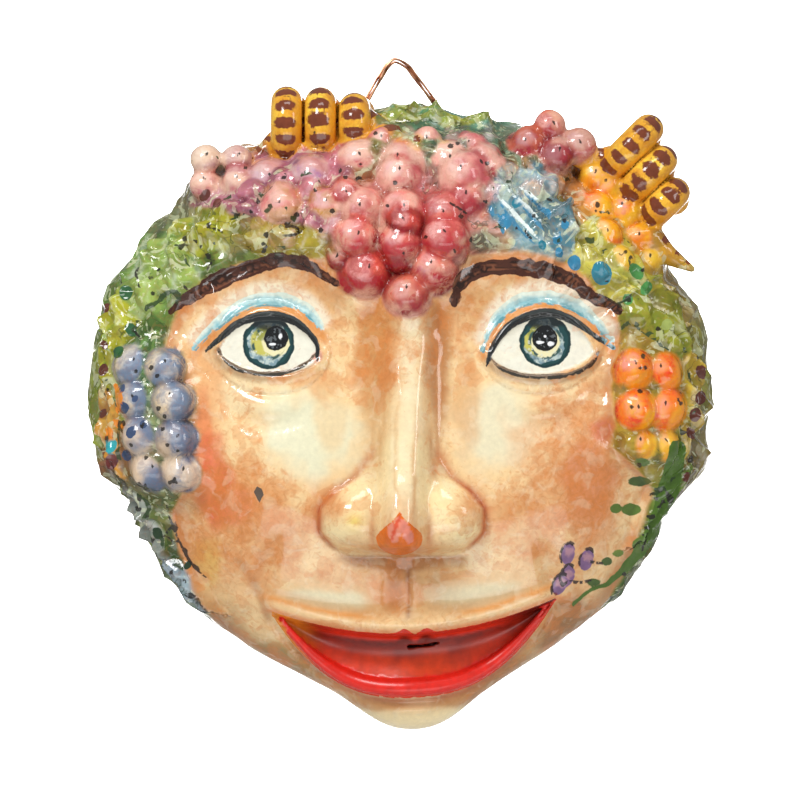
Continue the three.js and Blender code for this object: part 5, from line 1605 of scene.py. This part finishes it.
# The surface ripples finely all over, by tenths of a mm, and is crumpled into creases on the leaves
crumple = times(maths("ABSOLUTE", maths("SUBTRACT", noise(16, 1.0), 0.5)), times(in_garland, -5.0))
ripple = add_node(tree, "ShaderNodeBump", {"Height": maths("MULTIPLY_ADD", noise(3.4, 3.0), 0.12, crumple),
                                           "Distance": MM, "Strength": 0.7})
tree.links.new(ripple.outputs[0], surface.inputs["Normal"])
surface.inputs["IOR"].default_value = 1.52
mask.data.materials.append(glaze)
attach(mask, "root")
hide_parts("mask")


# Hanging loop: three strands of bare copper wire laid side by side, bent over the nail and pushed down
# through the two holes in the rim, where they are turned over inside. The strands follow one route.
STRAND_RADIUS = 0.72
STRAND_TURNS = 1.0
STRAND_SPREAD = 1.15
STRAND_FLATNESS = 0.62


def wire_route():
    """The middle of the loop from one end inside the mask, over the nail, to the other end."""
    legs = []
    for shoulder, direction, length in WIRE_LEGS:
        foot = shoulder + length * direction
        points = [shoulder + step * direction for step in (1, 8, 16, 26, length - 8)]
        legs.append([*points, foot, foot + np.array([0, -8, 5])])
    apex = np.array([-1, 1.3 - FACE_Z, RIM_Y])
    return in_frame(spline(np.array([*legs[0][::-1], apex, *legs[1]]), 10))


def strand_nodes():
    """Geometry nodes that lay strands round the route given to them and give each its round section."""
    group = bpy.data.node_groups.new("strands_along_route", "GeometryNodeTree")
    group.interface.new_socket("Geometry", in_out="INPUT", socket_type="NodeSocketGeometry")
    for name, start in (("Strands", 3), ("Radius", STRAND_RADIUS * MM), ("Spread", STRAND_SPREAD * MM),
                        ("Turns", STRAND_TURNS)):
        kind = "NodeSocketInt" if name == "Strands" else "NodeSocketFloat"
        group.interface.new_socket(name, in_out="INPUT", socket_type=kind).default_value = start
    group.interface.new_socket("Material", in_out="INPUT", socket_type="NodeSocketMaterial")
    group.interface.new_socket("Geometry", in_out="OUTPUT", socket_type="NodeSocketGeometry")
    given = group.nodes.new("NodeGroupInput")

    def step(kind, links=None, **settings):
        """Adds a node to the group and gives back what comes out of it first."""
        return add_node(group, kind, links, **settings).outputs[0]

    route = step("GeometryNodeMeshToCurve", {"Mesh": given.outputs["Geometry"]})
    copies = add_node(group, "GeometryNodeDuplicateElements",
                      {"Geometry": route, "Amount": given.outputs["Strands"]}, domain="SPLINE")
    # Each strand lies at its own angle round the route, and the angle turns on the way along it
    number = step("ShaderNodeMath", {0: copies.outputs["Duplicate Index"], 1: given.outputs["Strands"]},
                  operation="DIVIDE")
    along = add_node(group, "GeometryNodeSplineParameter").outputs["Factor"]
    turned = step("ShaderNodeMath", {0: along, 1: given.outputs["Turns"], 2: number}, operation="MULTIPLY_ADD")
    angle = step("ShaderNodeMath", {0: turned, 1: 2 * math.pi}, operation="MULTIPLY")
    sine = step("ShaderNodeMath", {0: angle}, operation="SINE")
    cosine = step("ShaderNodeMath", {0: angle}, operation="COSINE")
    aside = step("ShaderNodeVectorMath", {0: step("GeometryNodeInputTangent"), 1: (0, 1, 0)},
                 operation="CROSS_PRODUCT")
    wide = step("ShaderNodeVectorMath", {0: aside, "Scale": cosine}, operation="SCALE")
    deep = step("ShaderNodeVectorMath", {0: (0, STRAND_FLATNESS, 0), "Scale": sine}, operation="SCALE")
    both = step("ShaderNodeVectorMath", {0: wide, 1: deep}, operation="ADD")
    shift = step("ShaderNodeVectorMath", {0: both, "Scale": given.outputs["Spread"]}, operation="SCALE")
    laid = step("GeometryNodeSetPosition", {"Geometry": copies.outputs["Geometry"], "Offset": shift})
    section = step("GeometryNodeCurvePrimitiveCircle", {"Resolution": 10, "Radius": given.outputs["Radius"]})
    swept = step("GeometryNodeCurveToMesh", {"Curve": laid, "Profile Curve": section, "Fill Caps": True})
    smooth = step("GeometryNodeSetShadeSmooth", {0: swept})
    real = step("GeometryNodeRealizeInstances", {0: smooth})
    painted = step("GeometryNodeSetMaterial", {0: real, "Material": given.outputs["Material"]})
    add_node(group, "NodeGroupOutput", {0: painted})
    return group


# Bare drawn copper: a warm metal light runs along each strand, and brown spots of tarnish break it up
TARNISH_SPOT = 6.25
copper, copper_tree, copper_surface = new_material("bare copper wire, a little tarnished")
copper_place = add_node(copper_tree, "ShaderNodeTexCoord")
tarnish = add_node(copper_tree, "ShaderNodeTexNoise",
                   {"Vector": copper_place.outputs["Object"], "Scale": METRE / TARNISH_SPOT})
tone = add_node(copper_tree, "ShaderNodeMapRange", {0: tarnish.outputs[0], 1: 0.42, 2: 0.66})
hue = add_node(copper_tree, "ShaderNodeMix", {"Factor": tone.outputs[0]}, data_type="RGBA")
hue.inputs[6].default_value = linear("#f0b48e")
hue.inputs[7].default_value = linear("#8a4a30")
copper_tree.links.new(hue.outputs[2], copper_surface.inputs["Base Color"])
copper_surface.inputs["Metallic"].default_value = 1.0
copper_surface.inputs["Roughness"].default_value = 0.28

route = wire_route()
wire = new_object("copper_loop_strands", route.tolist(), [], [(k, k + 1) for k in range(len(route) - 1)])
laying = wire.modifiers.new("strands", "NODES")
laying.node_group = strand_nodes()
for item in laying.node_group.interface.items_tree:
    if item.item_type == "SOCKET" and item.in_out == "INPUT" and item.name == "Material":
        laying[item.identifier] = copper
plain_wire = bpy.data.meshes.new_from_object(wire.evaluated_get(bpy.context.evaluated_depsgraph_get()))
wire.modifiers.clear()
wire.data = plain_wire
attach(wire, "root")
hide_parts("hanging_loop")
